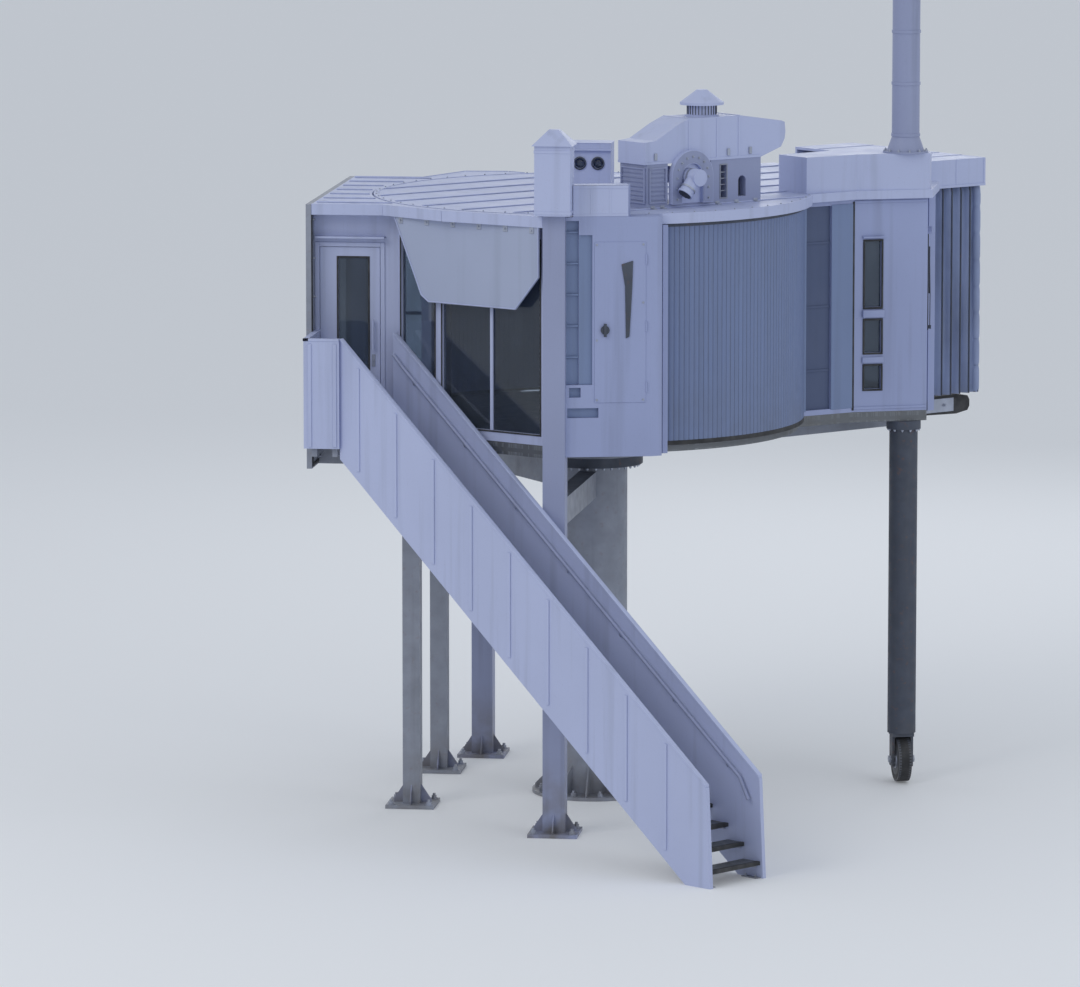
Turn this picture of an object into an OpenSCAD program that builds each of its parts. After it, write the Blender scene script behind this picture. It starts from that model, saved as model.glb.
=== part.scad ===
// Passenger boarding bridge for an airport stand: a short link gallery that starts at a terminal
// wall, a turning cab with slatted side curtains, a covered service door and an outside stair.
// Millimetres, +Z up. X runs along the link towards the aircraft side, Y across it.
// The origin is on the apron, on the vertical axis about which the cab turns.

/* [Levels] */
// Height of the walking floor over the apron
floor_height = 4400; // [3600:50:5200]
// Clear height from the floor to the underside of the roofs
wall_height = 2480; // [2300:10:2700]
// Thickness of the roof slabs
roof_thick = 100; // [70:5:160]
// Thickness of the turning cab floor
cab_floor_thick = 120; // [80:5:160]
// Thickness of the link floor
link_floor_thick = 140; // [100:5:200]

/* [Turning cab] */
// Direction the cab points, turned from straight ahead
cab_heading = 45; // [35:1:50]
// Radius of the slat curtains around the turning axis
curtain_radius = 2430; // [2350:10:2450]
// Half width of the cab between its side walls
cab_half_width = 1550; // [1500:10:1600]
// Distance of the front of the cab beyond the curtains
cab_length = 1520; // [1450:10:1650]
// Thickness of the cab walls
cab_wall = 90; // [60:5:110]
// Overhang of the cab roof beyond the curtains
roof_overhang = 90; // [60:5:95]
// Clear width of the front opening
front_opening_width = 2000; // [1600:10:2050]
// Clear height of the front opening
front_opening_height = 2200; // [2000:10:2240]

/* [Operator bay] */
// How far the bay corner stands out beyond the side wall
bay_depth = 365; // [250:5:420]
// Distance of the rear edge of the bay beyond the curtains
bay_offset = 140; // [80:10:220]
// Length of the bay from its rear edge to its outer corner
bay_length = 810; // [730:10:880]

/* [Slat curtains] */
// Width of one curtain slat along the curve
slat_pitch = 62; // [40:1:90]
// Thickness of a slat at its middle
slat_thick = 14; // [8:1:24]
// Where the near curtain leaves its housing, measured from straight ahead
near_jamb_angle = 64.8; // [63:0.1:66]
// Where the far curtain starts, measured from straight ahead
far_jamb_angle = 116; // [114:1:117]

/* [Front canopy] */
// Depth of the gathered bellows in front of the cab
bellows_depth = 850; // [650:10:950]
// Half width over the bellows
bellows_half_width = 1150; // [1120:10:1200]
// Number of folds in the bellows
bellows_folds = 6; // [4:1:10]
// Depth of each fold
fold_depth = 60; // [30:1:80]
// Height of the bellows over the floor
bellows_height = 2690; // [2560:10:2760]

/* [Link gallery] */
// Half width of the link over its walls
link_half_width = 1450; // [1400:10:1480]
// Distance of the terminal wall beyond the curtains
link_length = 650; // [630:10:970]
// Thickness of the link walls
link_wall = 100; // [60:5:130]
// Clear width of the service doorway
door_width = 700; // [650:10:710]
// Clear height of the service doorway
door_height = 2080; // [1950:10:2200]

/* [Columns and pedestal] */
// Side of the square side columns
column_size = 250; // [200:10:260]
// Distance of the side columns behind the turning axis
column_back = 110; // [80:5:140]
// Distance of the near column's middle beyond the curtains
column_offset = 310; // [305:5:370]
// Direction of the far column from the turning axis
far_column_angle = 125; // [122:1:128]
// Side of the boxed head on the near column
column_head = 400; // [300:10:440]
// Outer diameter of the pedestal tube
pedestal_dia = 800; // [600:10:900]
// Diameter of the bolt circle in the pedestal base
pedestal_pcd = 1200; // [1100:10:1300]
// Diameter of the holding-down bolt holes
anchor_hole_dia = 36; // [24:1:48]

/* [Service stair] */
// Direction of the stair, turned from the link towards the near side
stair_turn = 37; // [33:1:42]
// Clear width between the stair balustrades
stair_width = 800; // [700:10:900]
// Slope of the stair
stair_slope = 38; // [34:1:42]
// Number of steps from the apron to the landing
step_count = 24; // [20:1:28]
// Height of the parapets over the tread line
parapet_height = 1100; // [1000:10:1200]
// Thickness of the parapet panels
parapet_thick = 50; // [30:5:70]

/* [Mast and roof equipment] */
// Diameter of the roof mast
mast_dia = 320; // [200:10:330]
// Height of the mast over the cab floor
mast_top = 5000; // [4200:50:6000]
// Length of the equipment housing on the cab roof
housing_length = 2025; // [1900:5:2150]
// Depth of the equipment housing
housing_depth = 480; // [420:10:600]
// Height of the equipment housing
housing_height = 990; // [900:10:1080]
// Height of the cover on top of the curtain housing
housing_cover = 350; // [200:10:450]

/* [Hidden] */

white = [0.83, 0.85, 0.91];
slate = [0.42, 0.48, 0.59];
grey = [0.55, 0.58, 0.66];
dark = [0.24, 0.28, 0.36];
glass = [0.45, 0.55, 0.66, 0.5];

// Running gap of turning pieces, and the seat gap of hanging ones
run_gap = 20;
seat_gap = 0.3;

// Levels worked out from the floor
roof_level = floor_height + wall_height;
roof_top = roof_level + roof_thick;
beam_top = floor_height - link_floor_thick;
beam_depth = 300;
beam_bottom = beam_top - beam_depth;
crossbeam_bottom = beam_bottom - beam_depth - seat_gap;
ring_top = beam_bottom + run_gap;
ring_height = 120;

// Radii around the turning axis
disc_radius = curtain_radius - 60;
roof_radius = curtain_radius + roof_overhang;
link_cut_radius = disc_radius + run_gap;
roof_cut_radius = roof_radius + 20;
housing_cut_radius = roof_radius + 15;
cab_front = curtain_radius + cab_length;
bay_start = curtain_radius + bay_offset;
bay_corner = bay_start + bay_length;
link_reach = curtain_radius + link_length;
column_side = curtain_radius + column_offset;
cab_edge_angle = asin(cab_half_width / curtain_radius);
cab_edge_x = curtain_radius * cos(cab_edge_angle);

// Side columns: the near one beside the curtain housing, the far one clear of the turned cab
near_column_at = [-column_back, -column_side];
column_radius = norm(near_column_at);
far_column_at = column_radius * [cos(far_column_angle), sin(far_column_angle)];

// Link stations along X
link_start = -link_reach;
flange_thick = 60;
link_back = link_start + flange_thick;
link_wall_end = -sqrt(pow(roof_radius, 2) - pow(link_half_width, 2));
door_left = link_back + 60;
window_sill = 120;
window_head = 2300;

module ground_plate(side, thick) {
    difference() {
        translate([-side / 2, -side / 2, 0]) cube([side, side, thick]);
        for (x = [-1, 1], y = [-1, 1])
            translate([x * (side / 2 - 60), y * (side / 2 - 60), -1])
                cylinder(d = anchor_hole_dia, h = thick + 2, $fn = 24);
    }
}

module on_cab() rotate([0, 0, cab_heading]) children();
function polar(radius, angle) = radius * [cos(angle), sin(angle)];

// A wall band along points, mitred at its corners, with its thickness on the left of the way walked
function unit(v) = v / norm(v);
function left_of(v) = [-v[1], v[0]];
function mitred(points, i, thick) =
    let (last = len(points) - 1, before = unit(points[max(i, 1)] - points[max(i, 1) - 1]),
        after = unit(points[min(i, last - 1) + 1] - points[min(i, last - 1)]),
        middle = unit(left_of(before + after)))
    points[i] + middle * thick / (middle * left_of(before));
module wall_outline(points, thick) {
    polygon(concat(points, [for (i = [len(points) - 1:-1:0]) mitred(points, i, thick)]));
}

// The same points with both ends run on a little, to be cut square by what they meet
function run_on(points, by) = let (last = len(points) - 1)
    [for (i = [0:last]) i == 0 ? points[0] - by * unit(points[1] - points[0])
        : i == last ? points[last] + by * unit(points[last] - points[last - 1]) : points[i]];

plate_thick = 40;
column_base_side = 560;

/* Pedestal */
pedestal_base_radius = pedestal_pcd / 2 + 100;
anchor_count = 12;
module pedestal() {
    color(grey) {
        difference() {
            cylinder(r = pedestal_base_radius, h = plate_thick, $fn = 64);
            for (i = [0:anchor_count - 1])
                rotate([0, 0, (i + 0.5) * 360 / anchor_count]) translate([pedestal_pcd / 2, 0, -1])
                    cylinder(d = anchor_hole_dia, h = plate_thick + 2, $fn = 24);
        }
        translate([0, 0, plate_thick])
            cylinder(d = pedestal_dia, h = ring_top - ring_height - seat_gap - plate_thick, $fn = 64);
        for (i = [0:anchor_count - 1])
            rotate([0, 0, i * 360 / anchor_count]) translate([0, 8, plate_thick]) rotate([90, 0, 0])
                linear_extrude(16) polygon([[pedestal_dia / 2 - 5, 0],
                    [pedestal_base_radius - 30, 0], [pedestal_base_radius - 30, 40],
                    [pedestal_dia / 2 - 5, 320]]);
    }
}

ring_radius = 580;
spigot_radius = 300;
module slewing_ring() {
    color(dark) translate([0, 0, ring_top - ring_height]) difference() {
        cylinder(r = ring_radius, h = ring_height, $fn = 72);
        translate([0, 0, 20]) cylinder(r = spigot_radius, h = ring_height, $fn = 72);
    }
}

/* Fixed frame: arms from the pedestal to the side columns, and beams under the link */
arm_width = 200;
arm_top = ring_top - ring_height - 60;
module arm(angle, reach) {
    rotate([0, 0, angle]) difference() {
        translate([0, -arm_width / 2, arm_top - beam_depth]) cube([reach, arm_width, beam_depth]);
        translate([0, 0, arm_top - beam_depth - 1])
            cylinder(d = pedestal_dia + 2 * seat_gap, h = beam_depth + 2, $fn = 64);
    }
}
near_arm_angle = atan2(-column_side, -column_back);
module crossbeam() {
    color(grey) difference() {
        union() {
            arm(near_arm_angle, column_side);
            arm(far_column_angle, column_radius);
        }
        for (c = [near_column_at, far_column_at])
            translate([c[0], c[1], arm_top]) cube([column_size + 2 * seat_gap,
                column_size + 2 * seat_gap, 3 * beam_depth], center = true);
    }
}

beam_side = 1150;
beam_width = 150;
trestle_back = 1130;
trestle_x = link_start + trestle_back;
beam_tail = 450;
beam_end = trestle_x + beam_tail;
module link_beams() {
    color(grey) for (s = [-1, 1])
        translate([link_back + seat_gap, s * beam_side - beam_width / 2, beam_bottom])
            cube([beam_end - link_back, beam_width, beam_depth - seat_gap]);
}

trestle_leg = 200;
module rear_trestle() {
    color(grey) {
        for (s = [-1, 1]) translate([trestle_x, s * beam_side, 0]) {
            ground_plate(column_base_side, plate_thick);
            translate([-trestle_leg / 2, -trestle_leg / 2, plate_thick])
                cube([trestle_leg, trestle_leg, crossbeam_bottom - plate_thick]);
        }
        translate([trestle_x - trestle_leg / 2, -beam_side - 200, crossbeam_bottom])
            cube([trestle_leg, 2 * beam_side + 400, beam_depth]);
    }
}

/* Link gallery */
// Outlines from the terminal wall to the side columns
wing_knee = near_column_at + [-1423, 800];
wing_end = [-column_back - column_size / 2 - seat_gap, -column_side + 40];
far_wing_end = [far_column_at[0] - column_size / 2 - 20, far_column_at[1] - column_size / 2 - 10];
module link_floor() {
    color(grey) translate([0, 0, beam_top]) linear_extrude(link_floor_thick) difference() {
        polygon([[link_back + seat_gap, -link_half_width], [link_wall_end, -link_half_width],
            wing_knee, wing_end, [wing_end[0], -column_side + column_size / 2 + 10], [-400, 0],
            polar(link_cut_radius - 46, far_jamb_angle + 1.4),
            polar(link_cut_radius + 70, far_jamb_angle + 1.1),
            [far_column_at[0] + column_size / 2, far_wing_end[1]],
            far_wing_end, [link_wall_end, link_half_width], [link_back + seat_gap, link_half_width]]);
        circle(r = link_cut_radius, $fn = 96);
    }
}

module link_near_wall() {
    color(white) hinge_seats();
    color(white) translate([0, -link_half_width, floor_height]) rotate([90, 0, 0])
        mirror([0, 0, 1]) linear_extrude(link_wall) difference() {
            translate([link_back + seat_gap, seat_gap])
                square([link_wall_end - link_back - seat_gap, wall_height - 2 * seat_gap]);
            translate([door_left, -1]) square([door_width, door_height + 1]);
        }
}

far_window_left = link_back + 180;
far_window_right = link_wall_end - 120;
module link_far_wall() {
    color(white) translate([0, link_half_width - link_wall, floor_height]) rotate([90, 0, 0])
        mirror([0, 0, 1]) linear_extrude(link_wall) difference() {
            translate([link_back + seat_gap, seat_gap])
                square([link_wall_end - link_back - seat_gap, wall_height - 2 * seat_gap]);
            translate([far_window_left, window_sill])
                square([far_window_right - far_window_left, window_head - window_sill]);
        }
}

pane_thick = 12;
frame_depth = 70;
post_width = 60;
module pane_run(points) {
    for (i = [0:len(points) - 2]) {
        run = points[i + 1] - points[i];
        translate(points[i]) rotate(atan2(run[1], run[0]))
            translate([post_width + seat_gap, frame_depth / 2 - pane_thick / 2])
                square([norm(run) - 2 * post_width - 2 * seat_gap, pane_thick]);
    }
}
wing_points = [[link_wall_end + seat_gap, -link_half_width], wing_knee, wing_end];
module link_glazing() {
    color(glass) translate([0, 0, floor_height + window_sill + seat_gap])
        linear_extrude(window_head - window_sill - 2 * seat_gap) {
            pane_run(wing_points);
            translate([far_window_left + seat_gap, link_half_width - link_wall / 2 - pane_thick / 2])
                square([far_window_right - far_window_left - 2 * seat_gap, pane_thick]);
        }
}

link_eave = 190;
eave_knees = [[link_wall_end - 139, -link_half_width - link_eave - 40], wing_knee + [83, -310]];
eave_end = [-column_back - column_size / 2 - seat_gap, -column_side - 100];
far_eave_points = [polar(roof_cut_radius + 28, far_jamb_angle - 1.1),
    polar(roof_cut_radius + 260, far_jamb_angle + 1.7), far_column_at + [-237, 204],
    [link_wall_end - 139, link_half_width + link_eave]];
module link_roof() {
    color(white) translate([0, 0, roof_level]) linear_extrude(roof_thick) difference() {
        polygon(concat([[link_back + seat_gap, eave_knees[0][1]]], eave_knees, [eave_end,
            [eave_end[0], -column_side + column_size / 2], [-400, 0]], far_eave_points,
            [[link_back + seat_gap, link_half_width + link_eave]]));
        circle(r = roof_cut_radius, $fn = 96);
    }
}

flange_rim = 240;
module wall_flange() {
    color(grey) translate([link_start, 0, 0]) rotate([90, 0, 90]) linear_extrude(flange_thick)
        difference() {
            translate([-link_half_width - flange_rim, beam_bottom])
                square([2 * (link_half_width + flange_rim), roof_top - beam_bottom]);
            translate([-link_half_width + link_wall, floor_height])
                square([2 * (link_half_width - link_wall), wall_height - 60]);
        }
}

/* Side columns */
column_top = roof_top + 30;
module column_at(place, top) {
    color(white) translate([place[0], place[1], 0]) {
        ground_plate(column_base_side, plate_thick);
        translate([-column_size / 2, -column_size / 2, plate_thick])
            cube([column_size, column_size, top - plate_thick]);
    }
}
module near_column() column_at(near_column_at, column_top);
module far_column() column_at(far_column_at, roof_level - seat_gap);

head_height = 780;
cap_height = 170;
module column_head() {
    color(white) translate([near_column_at[0], near_column_at[1]
        - (column_head - column_size) / 2, column_top + seat_gap]) {
        translate([-column_head / 2, -column_head / 2, 0])
            cube([column_head, column_head, head_height]);
        translate([0, 0, head_height]) linear_extrude(cap_height, scale = 0.25)
            square(column_head + 60, center = true);
    }
}

wing_height = wall_height - 2 * seat_gap;
module near_wing_wall() {
    color(white) difference() {
        translate([0, 0, floor_height + seat_gap]) linear_extrude(wing_height) intersection() {
            wall_outline(run_on(wing_points, 150), frame_depth);
            translate([wing_points[0][0], -column_side - 200])
                square([wing_end[0] - wing_points[0][0], column_side]);
        }
        for (i = [0:len(wing_points) - 2]) {
            run = wing_points[i + 1] - wing_points[i];
            translate([wing_points[i][0], wing_points[i][1], floor_height + window_sill])
                rotate([0, 0, atan2(run[1], run[0])]) translate([post_width, -1, 0])
                    cube([norm(run) - 2 * post_width, frame_depth + 2, window_head - window_sill]);
        }
    }
}

far_jamb_radius = curtain_radius + slat_thick / 2 + seat_gap;
module far_wing_wall() {
    color(white) translate([0, 0, floor_height]) linear_extrude(wing_height - run_gap) difference() {
        union() {
            mirror([0, 1]) wall_outline([[link_wall_end + seat_gap, -link_half_width],
                [far_wing_end[0], -far_wing_end[1]]], frame_depth);
            polygon([far_wing_end + [0, -60], far_wing_end, [far_wing_end[0] + 20, far_wing_end[1] + 9],
                [far_column_at[0] + column_size / 2, far_wing_end[1] + 9],
                (far_jamb_radius + 60) * [cos(far_jamb_angle), sin(far_jamb_angle)],
                far_jamb_radius * [cos(far_jamb_angle), sin(far_jamb_angle)],
                far_jamb_radius * [cos(far_jamb_angle + 4), sin(far_jamb_angle + 4)],
                [far_column_at[0] + column_size / 2, far_wing_end[1] - 60]]);
        }
        circle(r = far_jamb_radius, $fn = 96);
    }
}

/* Curtain housing beside the near column */
housing_drop = 110;
housing_left = -column_back + column_size / 2 + seat_gap;
jamb_point = curtain_radius * [cos(near_jamb_angle), -sin(near_jamb_angle)];
housing_corner = [jamb_point[0] - 90, jamb_point[1] - 390];
housing_face = [[housing_left, -column_side - 60], housing_corner];
cover_left = near_column_at[0] + column_head / 2 + 5;
cover_right = jamb_point[0] - 335;
module housing_plan() {
    difference() {
        polygon([housing_face[0], housing_corner, [jamb_point[0] + 30, jamb_point[1] - 320],
            jamb_point, [housing_left, -roof_radius]]);
        circle(r = housing_cut_radius, $fn = 96);
    }
}
module curtain_housing() {
    run = housing_face[1] - housing_face[0];
    color(white) difference() {
        union() {
            translate([0, 0, floor_height - housing_drop])
                linear_extrude(roof_top - floor_height + housing_drop) housing_plan();
            translate([0, 0, roof_top - 1]) linear_extrude(housing_cover + 1) intersection() {
                housing_plan();
                translate([cover_left, -column_side - 200]) square([cover_right - cover_left, 1000]);
            }
        }
        translate([housing_face[0][0], housing_face[0][1], floor_height])
            rotate([0, 0, atan2(run[1], run[0])]) {
                translate([-1, -1, 700]) cube([150, 71, wall_height - 640]);
                translate([148, -1, 700]) cube([152, 37, wall_height - 800]);
                translate([40, -1, 560]) cube([130, 61, 110]);
                translate([20, -1, 330]) cube([350, 61, 110]);
            }
    }
    color(white) rotate([0, 0, -near_jamb_angle])
        translate([curtain_radius + slat_thick / 2 + seat_gap, -40, floor_height - housing_drop])
            cube([housing_cut_radius - curtain_radius + 20, 60, wall_height + housing_drop - run_gap]);
}

/* Slat curtains: flat slats with a groove at each hinge line. Each runs on behind its jamb, where the
   spare slats lie along the same circle until the cab turns. */
curtain_drop = 40;
groove = 5;
near_store_angle = 88;
far_store_angle = 140;
module slat_curtain(from, to, drop) {
    count = max(1, round((to - from) * PI / 180 * curtain_radius / slat_pitch));
    step = (to - from) / count;
    outer = [for (i = [0:count - 1]) for (k = [[0, -groove], [0.12, 0], [0.88, 0], [1, -groove]])
        let (a = from + (i + k[0]) * step, r = curtain_radius + slat_thick / 2 + k[1])
        [r * cos(a), r * sin(a)]];
    inner = [for (i = [count:-1:0])
        let (a = from + i * step, r = curtain_radius - slat_thick / 2) [r * cos(a), r * sin(a)]];
    translate([0, 0, floor_height - drop])
        linear_extrude(wall_height + drop - run_gap) polygon(concat(outer, inner));
}
jamb_lap = 0.6;
module near_curtain() {
    color(slate) slat_curtain(-near_store_angle, cab_heading - cab_edge_angle - jamb_lap, curtain_drop);
}
module far_curtain() {
    color(slate) slat_curtain(cab_heading + cab_edge_angle + jamb_lap, far_store_angle, -8);
}

/* Screen hung under the eave between the service door and the near column */
screen_drop = 960;
screen_thick = 14;
screen_start = eave_knees[0] + [10, 15];
screen_end = eave_end + [-40, 40];
screen_inset = 150;
screen_slope = [500, 0.08 * screen_drop];
screen_bend = 390;
screen_cut = 330;
module weather_screen() {
    run = screen_end - screen_start;
    length = norm(run);
    color(slate) translate([screen_start[0], screen_start[1], roof_level - seat_gap])
        rotate([0, 0, atan2(run[1], run[0])]) rotate([90, 0, 0]) linear_extrude(screen_thick)
            polygon([[screen_inset, 0], [length, 0], [length, -0.6 * screen_drop],
                [length - screen_cut, -screen_drop], [screen_inset + screen_slope[0], -screen_drop],
                [screen_inset + screen_bend, screen_slope[1] - screen_drop]]);
}

/* Landing and stair */
stair_dir = [cos(stair_turn), -sin(stair_turn)];
stair_norm = [sin(stair_turn), cos(stair_turn)];
stair_top = [link_wall_end - 3, -link_half_width - 134];
landing_left = door_left;
landing_thick = 60;
near_corner = stair_top - stair_norm * (stair_width + 2 * parapet_thick);
landing_front = near_corner[1];
module landing_outline() {
    polygon([[landing_left, -link_half_width - seat_gap], [stair_top[0], -link_half_width - seat_gap],
        stair_top, near_corner, [landing_left, landing_front]]);
}
module landing() {
    color(grey) {
        translate([0, 0, floor_height - landing_thick]) linear_extrude(landing_thick)
            landing_outline();
        for (x = [landing_left + 60, near_corner[0] - 60])
            translate([x - 30, landing_front + 20, floor_height - landing_thick - 160])
                cube([60, -link_half_width - landing_front - 20 - seat_gap, 160]);
    }
}

parapet_foot = 120;
module landing_parapet() {
    color(white) translate([0, 0, floor_height - parapet_foot]) linear_extrude(
        parapet_height + parapet_foot) {
        translate([landing_left - parapet_thick, landing_front - parapet_thick])
            square([parapet_thick, -link_half_width - landing_front + parapet_thick - seat_gap]);
        translate([landing_left - parapet_thick, landing_front - parapet_thick])
            square([near_corner[0] - landing_left + parapet_thick, parapet_thick]);
    }
}

stair_run = floor_height / tan(stair_slope);
riser = floor_height / step_count;
going = stair_run / step_count;
stringer_drop = 240;
module balustrade() {
    rotate([90, 0, 0]) linear_extrude(parapet_thick) polygon([[0, floor_height - stringer_drop],
        [0, floor_height + parapet_height], [stair_run, parapet_height], [stair_run + 60, 0],
        [stair_run - stringer_drop / tan(stair_slope), 0]]);
}
module in_stair() {
    translate([near_corner[0] + seat_gap * stair_dir[0], near_corner[1] + seat_gap * stair_dir[1], 0])
        rotate([0, 0, -stair_turn]) children();
}
module stair_near_balustrade() {
    color(white) in_stair() translate([0, parapet_thick, 0]) balustrade();
}
module stair_far_balustrade() {
    color(white) in_stair() translate([0, 2 * parapet_thick + stair_width, 0]) balustrade();
}
module treads(from, to) {
    in_stair() for (i = [from:to])
        translate([i * going, parapet_thick, floor_height - i * riser - 40])
            cube([going + 20, stair_width, 40]);
}
module stair_treads() color(grey) treads(1, step_count - 1);

/* Service door */
door_gap = 6;
closing_gap = 9;
door_thick = 45;
door_leaf = door_width - door_gap - closing_gap;
door_pane = [210, 420, 340, 1520];
handle_length = 340;
hinge_r = 12;
hinge_x = door_left + door_gap + 10;
hinge_y = -link_half_width + 5 + door_thick + hinge_r + 2;
hinge_levels = [250, 1000, 1750];
knuckle = 70;
module door_place() translate([door_left + door_gap, -link_half_width + 5, floor_height + 12]) children();
module service_door() {
    color(white) {
        door_place() difference() {
            cube([door_leaf, door_thick, door_height - 12 - door_gap]);
            translate([door_pane[0], -1, door_pane[1]])
                cube([door_pane[2], door_thick + 2, door_pane[3]]);
        }
        door_place() translate([door_leaf - 75, 0, 900]) {
            translate([0, -45, 0]) cylinder(d = 26, h = handle_length, $fn = 24);
            for (z = [40, handle_length - 40]) translate([0, 1, z]) rotate([90, 0, 0])
                cylinder(d = 18, h = 46, $fn = 24);
        }
        for (z = hinge_levels) translate([hinge_x, hinge_y, floor_height + z + seat_gap]) {
            cylinder(r = hinge_r, h = knuckle, $fn = 32);
            translate([-10, -hinge_r - 3, 0]) cube([20, hinge_r + 3, knuckle]);
        }
    }
}
module door_glazing() {
    color(glass) door_place()
        translate([door_pane[0] + seat_gap, door_thick / 2 - 4, door_pane[1] + seat_gap])
            cube([door_pane[2] - 2 * seat_gap, 8, door_pane[3] - 2 * seat_gap]);
}
module hinge_seats() {
    for (z = hinge_levels) translate([hinge_x, hinge_y, floor_height + z - knuckle]) {
        cylinder(r = hinge_r, h = knuckle, $fn = 32);
        translate([-hinge_x + door_left - 1, -hinge_r, 0])
            cube([hinge_x - door_left + 1, 2 * hinge_r, knuckle]);
    }
}

/* Turning cab */
turntable_radius = 640;
cab_beam_side = 900;
cab_under = floor_height - cab_floor_thick;
module turntable() {
    color(grey) on_cab() {
        translate([0, 0, ring_top + seat_gap])
            cylinder(r = turntable_radius, h = cab_under - ring_top - 2 * seat_gap, $fn = 72);
        translate([0, 0, ring_top - ring_height + 40])
            cylinder(r = spigot_radius - 0.1, h = ring_height, $fn = 72);
        for (s = [-1, 1]) translate([0, s * cab_beam_side - 60, cab_under - 200])
            cube([cab_front, 120, 200 - seat_gap]);
        for (x = [cab_front - 220, 200]) translate([x, -cab_beam_side, cab_under - 200])
            cube([120, 2 * cab_beam_side, 200 - seat_gap]);
    }
}

bay_y = -cab_half_width - 64;
bay_points = [[cab_edge_x, -cab_half_width], [bay_start, bay_y],
    [bay_corner, bay_y - bay_depth], [cab_front, bay_y + 290]];
module cab_floor() {
    color(grey) on_cab() translate([0, 0, cab_under]) linear_extrude(cab_floor_thick) {
        circle(r = disc_radius, $fn = 96);
        polygon(concat([[0, 0], [0, -cab_half_width + 100]], bay_points,
            [[cab_front, cab_half_width], [cab_edge_x, cab_half_width], [0, cab_half_width - 100]]));
    }
}

slot_offset = 130;
slot_width = 200;
slot_levels = [[1220, 1985], [690, 1065], [265, 535]];
bay_run = bay_points[2] - bay_points[1];
rear_run = bay_points[1] - bay_points[0];
module bay_slots(depth, shrink) {
    translate(bay_points[1]) rotate([0, 0, atan2(bay_run[1], bay_run[0])])
        for (level = slot_levels) translate([slot_offset + shrink, -1 + depth[0],
            floor_height + level[0] + shrink])
            cube([slot_width - 2 * shrink, depth[1], level[1] - level[0] - 2 * shrink]);
}
nose_run = bay_points[3] - bay_points[2];
module nose_window(depth, shrink) {
    translate(bay_points[2]) rotate([0, 0, atan2(nose_run[1], nose_run[0])])
        translate([130 + shrink, -1 + depth[0], floor_height + 950 + shrink])
            cube([norm(nose_run) - 260 - 2 * shrink, depth[1], 1050 - 2 * shrink]);
}
module operator_side_wall() {
    color(white) on_cab() difference() {
        translate([0, 0, floor_height + seat_gap]) linear_extrude(wall_height - 2 * seat_gap)
            intersection() {
                wall_outline(run_on(bay_points, 150), cab_wall);
                translate([cab_edge_x, 2 * bay_y])
                    square([cab_front - seat_gap - cab_edge_x, -2 * bay_y]);
            }
        bay_slots([-1, cab_wall + 4], 0);
        nose_window([-1, cab_wall + 4], 0);
        translate(bay_points[0]) rotate(atan2(rear_run[1], rear_run[0]))
            translate([30, -1, floor_height + 60]) cube([350, 41, wall_height - 120]);
    }
}
module operator_glazing() {
    color(glass) on_cab() {
        translate([cab_edge_x + far_window[0] + seat_gap, cab_half_width - cab_wall / 2 - 5,
            floor_height + far_window[1] + seat_gap])
            cube([far_window[2] - 2 * seat_gap, 10, far_window[3] - 2 * seat_gap]);
        bay_slots([cab_wall / 2, 10], seat_gap);
        nose_window([cab_wall / 2, 10], seat_gap);
    }
}

far_window = [600, 1000, 950, 900];
module far_side_wall() {
    color(white) on_cab() translate([cab_edge_x, cab_half_width, floor_height]) rotate([90, 0, 0])
        linear_extrude(cab_wall) difference() {
            translate([0, seat_gap])
                square([cab_front - cab_edge_x - seat_gap, wall_height - 2 * seat_gap]);
            translate([far_window[0], far_window[1]]) square([far_window[2], far_window[3]]);
        }
}

front_thick = 100;
module front_frame() {
    color(white) on_cab() translate([cab_front + seat_gap, 0, floor_height]) rotate([90, 0, 90])
        linear_extrude(front_thick - 2 * seat_gap) difference() {
            translate([bay_points[3][1] - 20, -cab_floor_thick])
                square([cab_half_width - bay_points[3][1] + 20,
                    wall_height + cab_floor_thick - seat_gap]);
            translate([-front_opening_width / 2, 0])
                square([front_opening_width, front_opening_height]);
        }
}

/* Gathered bellows: a folded sheet down both sides and across the top */
sheet = 24;
module fold_profile() {
    step = bellows_depth / bellows_folds / 2;
    points = [for (i = [0:2 * bellows_folds]) [i * step, i % 2 == 0 ? 0 : -fold_depth]];
    inner = [for (i = [2 * bellows_folds:-1:0]) points[i] - [0, sheet]];
    polygon(concat(points, inner));
}
bellows_top = bellows_height - 130;
module canopy_bellows() {
    color(slate) on_cab() translate([cab_front + front_thick + seat_gap, 0, floor_height]) {
        for (s = [0, 1]) mirror([0, s]) translate([0, bellows_half_width, 0])
            linear_extrude(bellows_top) fold_profile();
        translate([0, bellows_half_width - 20, bellows_top + fold_depth + sheet]) rotate([90, 0, 0])
            linear_extrude(2 * bellows_half_width - 40) fold_profile();
    }
}

hood_skirt = 330;
hood_sheet = 30;
module canopy_hood() {
    color(white) on_cab() translate([cab_front + front_thick + seat_gap, 0, floor_height
        + bellows_height + 110]) difference() {
            translate([0, -bellows_half_width - 60, -hood_skirt])
                cube([bellows_depth + 40, 2 * bellows_half_width + 120, hood_skirt]);
            translate([-1, -bellows_half_width - 60 + hood_sheet, -hood_skirt - 1])
                cube([bellows_depth + 41 - hood_sheet, 2 * (bellows_half_width + 60 - hood_sheet),
                    hood_skirt + 1 - hood_sheet]);
        }
}

bumper_half = 950;
bumper_high = 240;
bumper_drop = 20;
bumper_reach = 60;
module front_bumper() {
    color(dark) on_cab() translate([cab_front + front_thick, -bumper_half,
        floor_height - bumper_drop - bumper_high])
            cube([bellows_depth + bumper_reach, 2 * bumper_half, bumper_high]);
}

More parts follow.
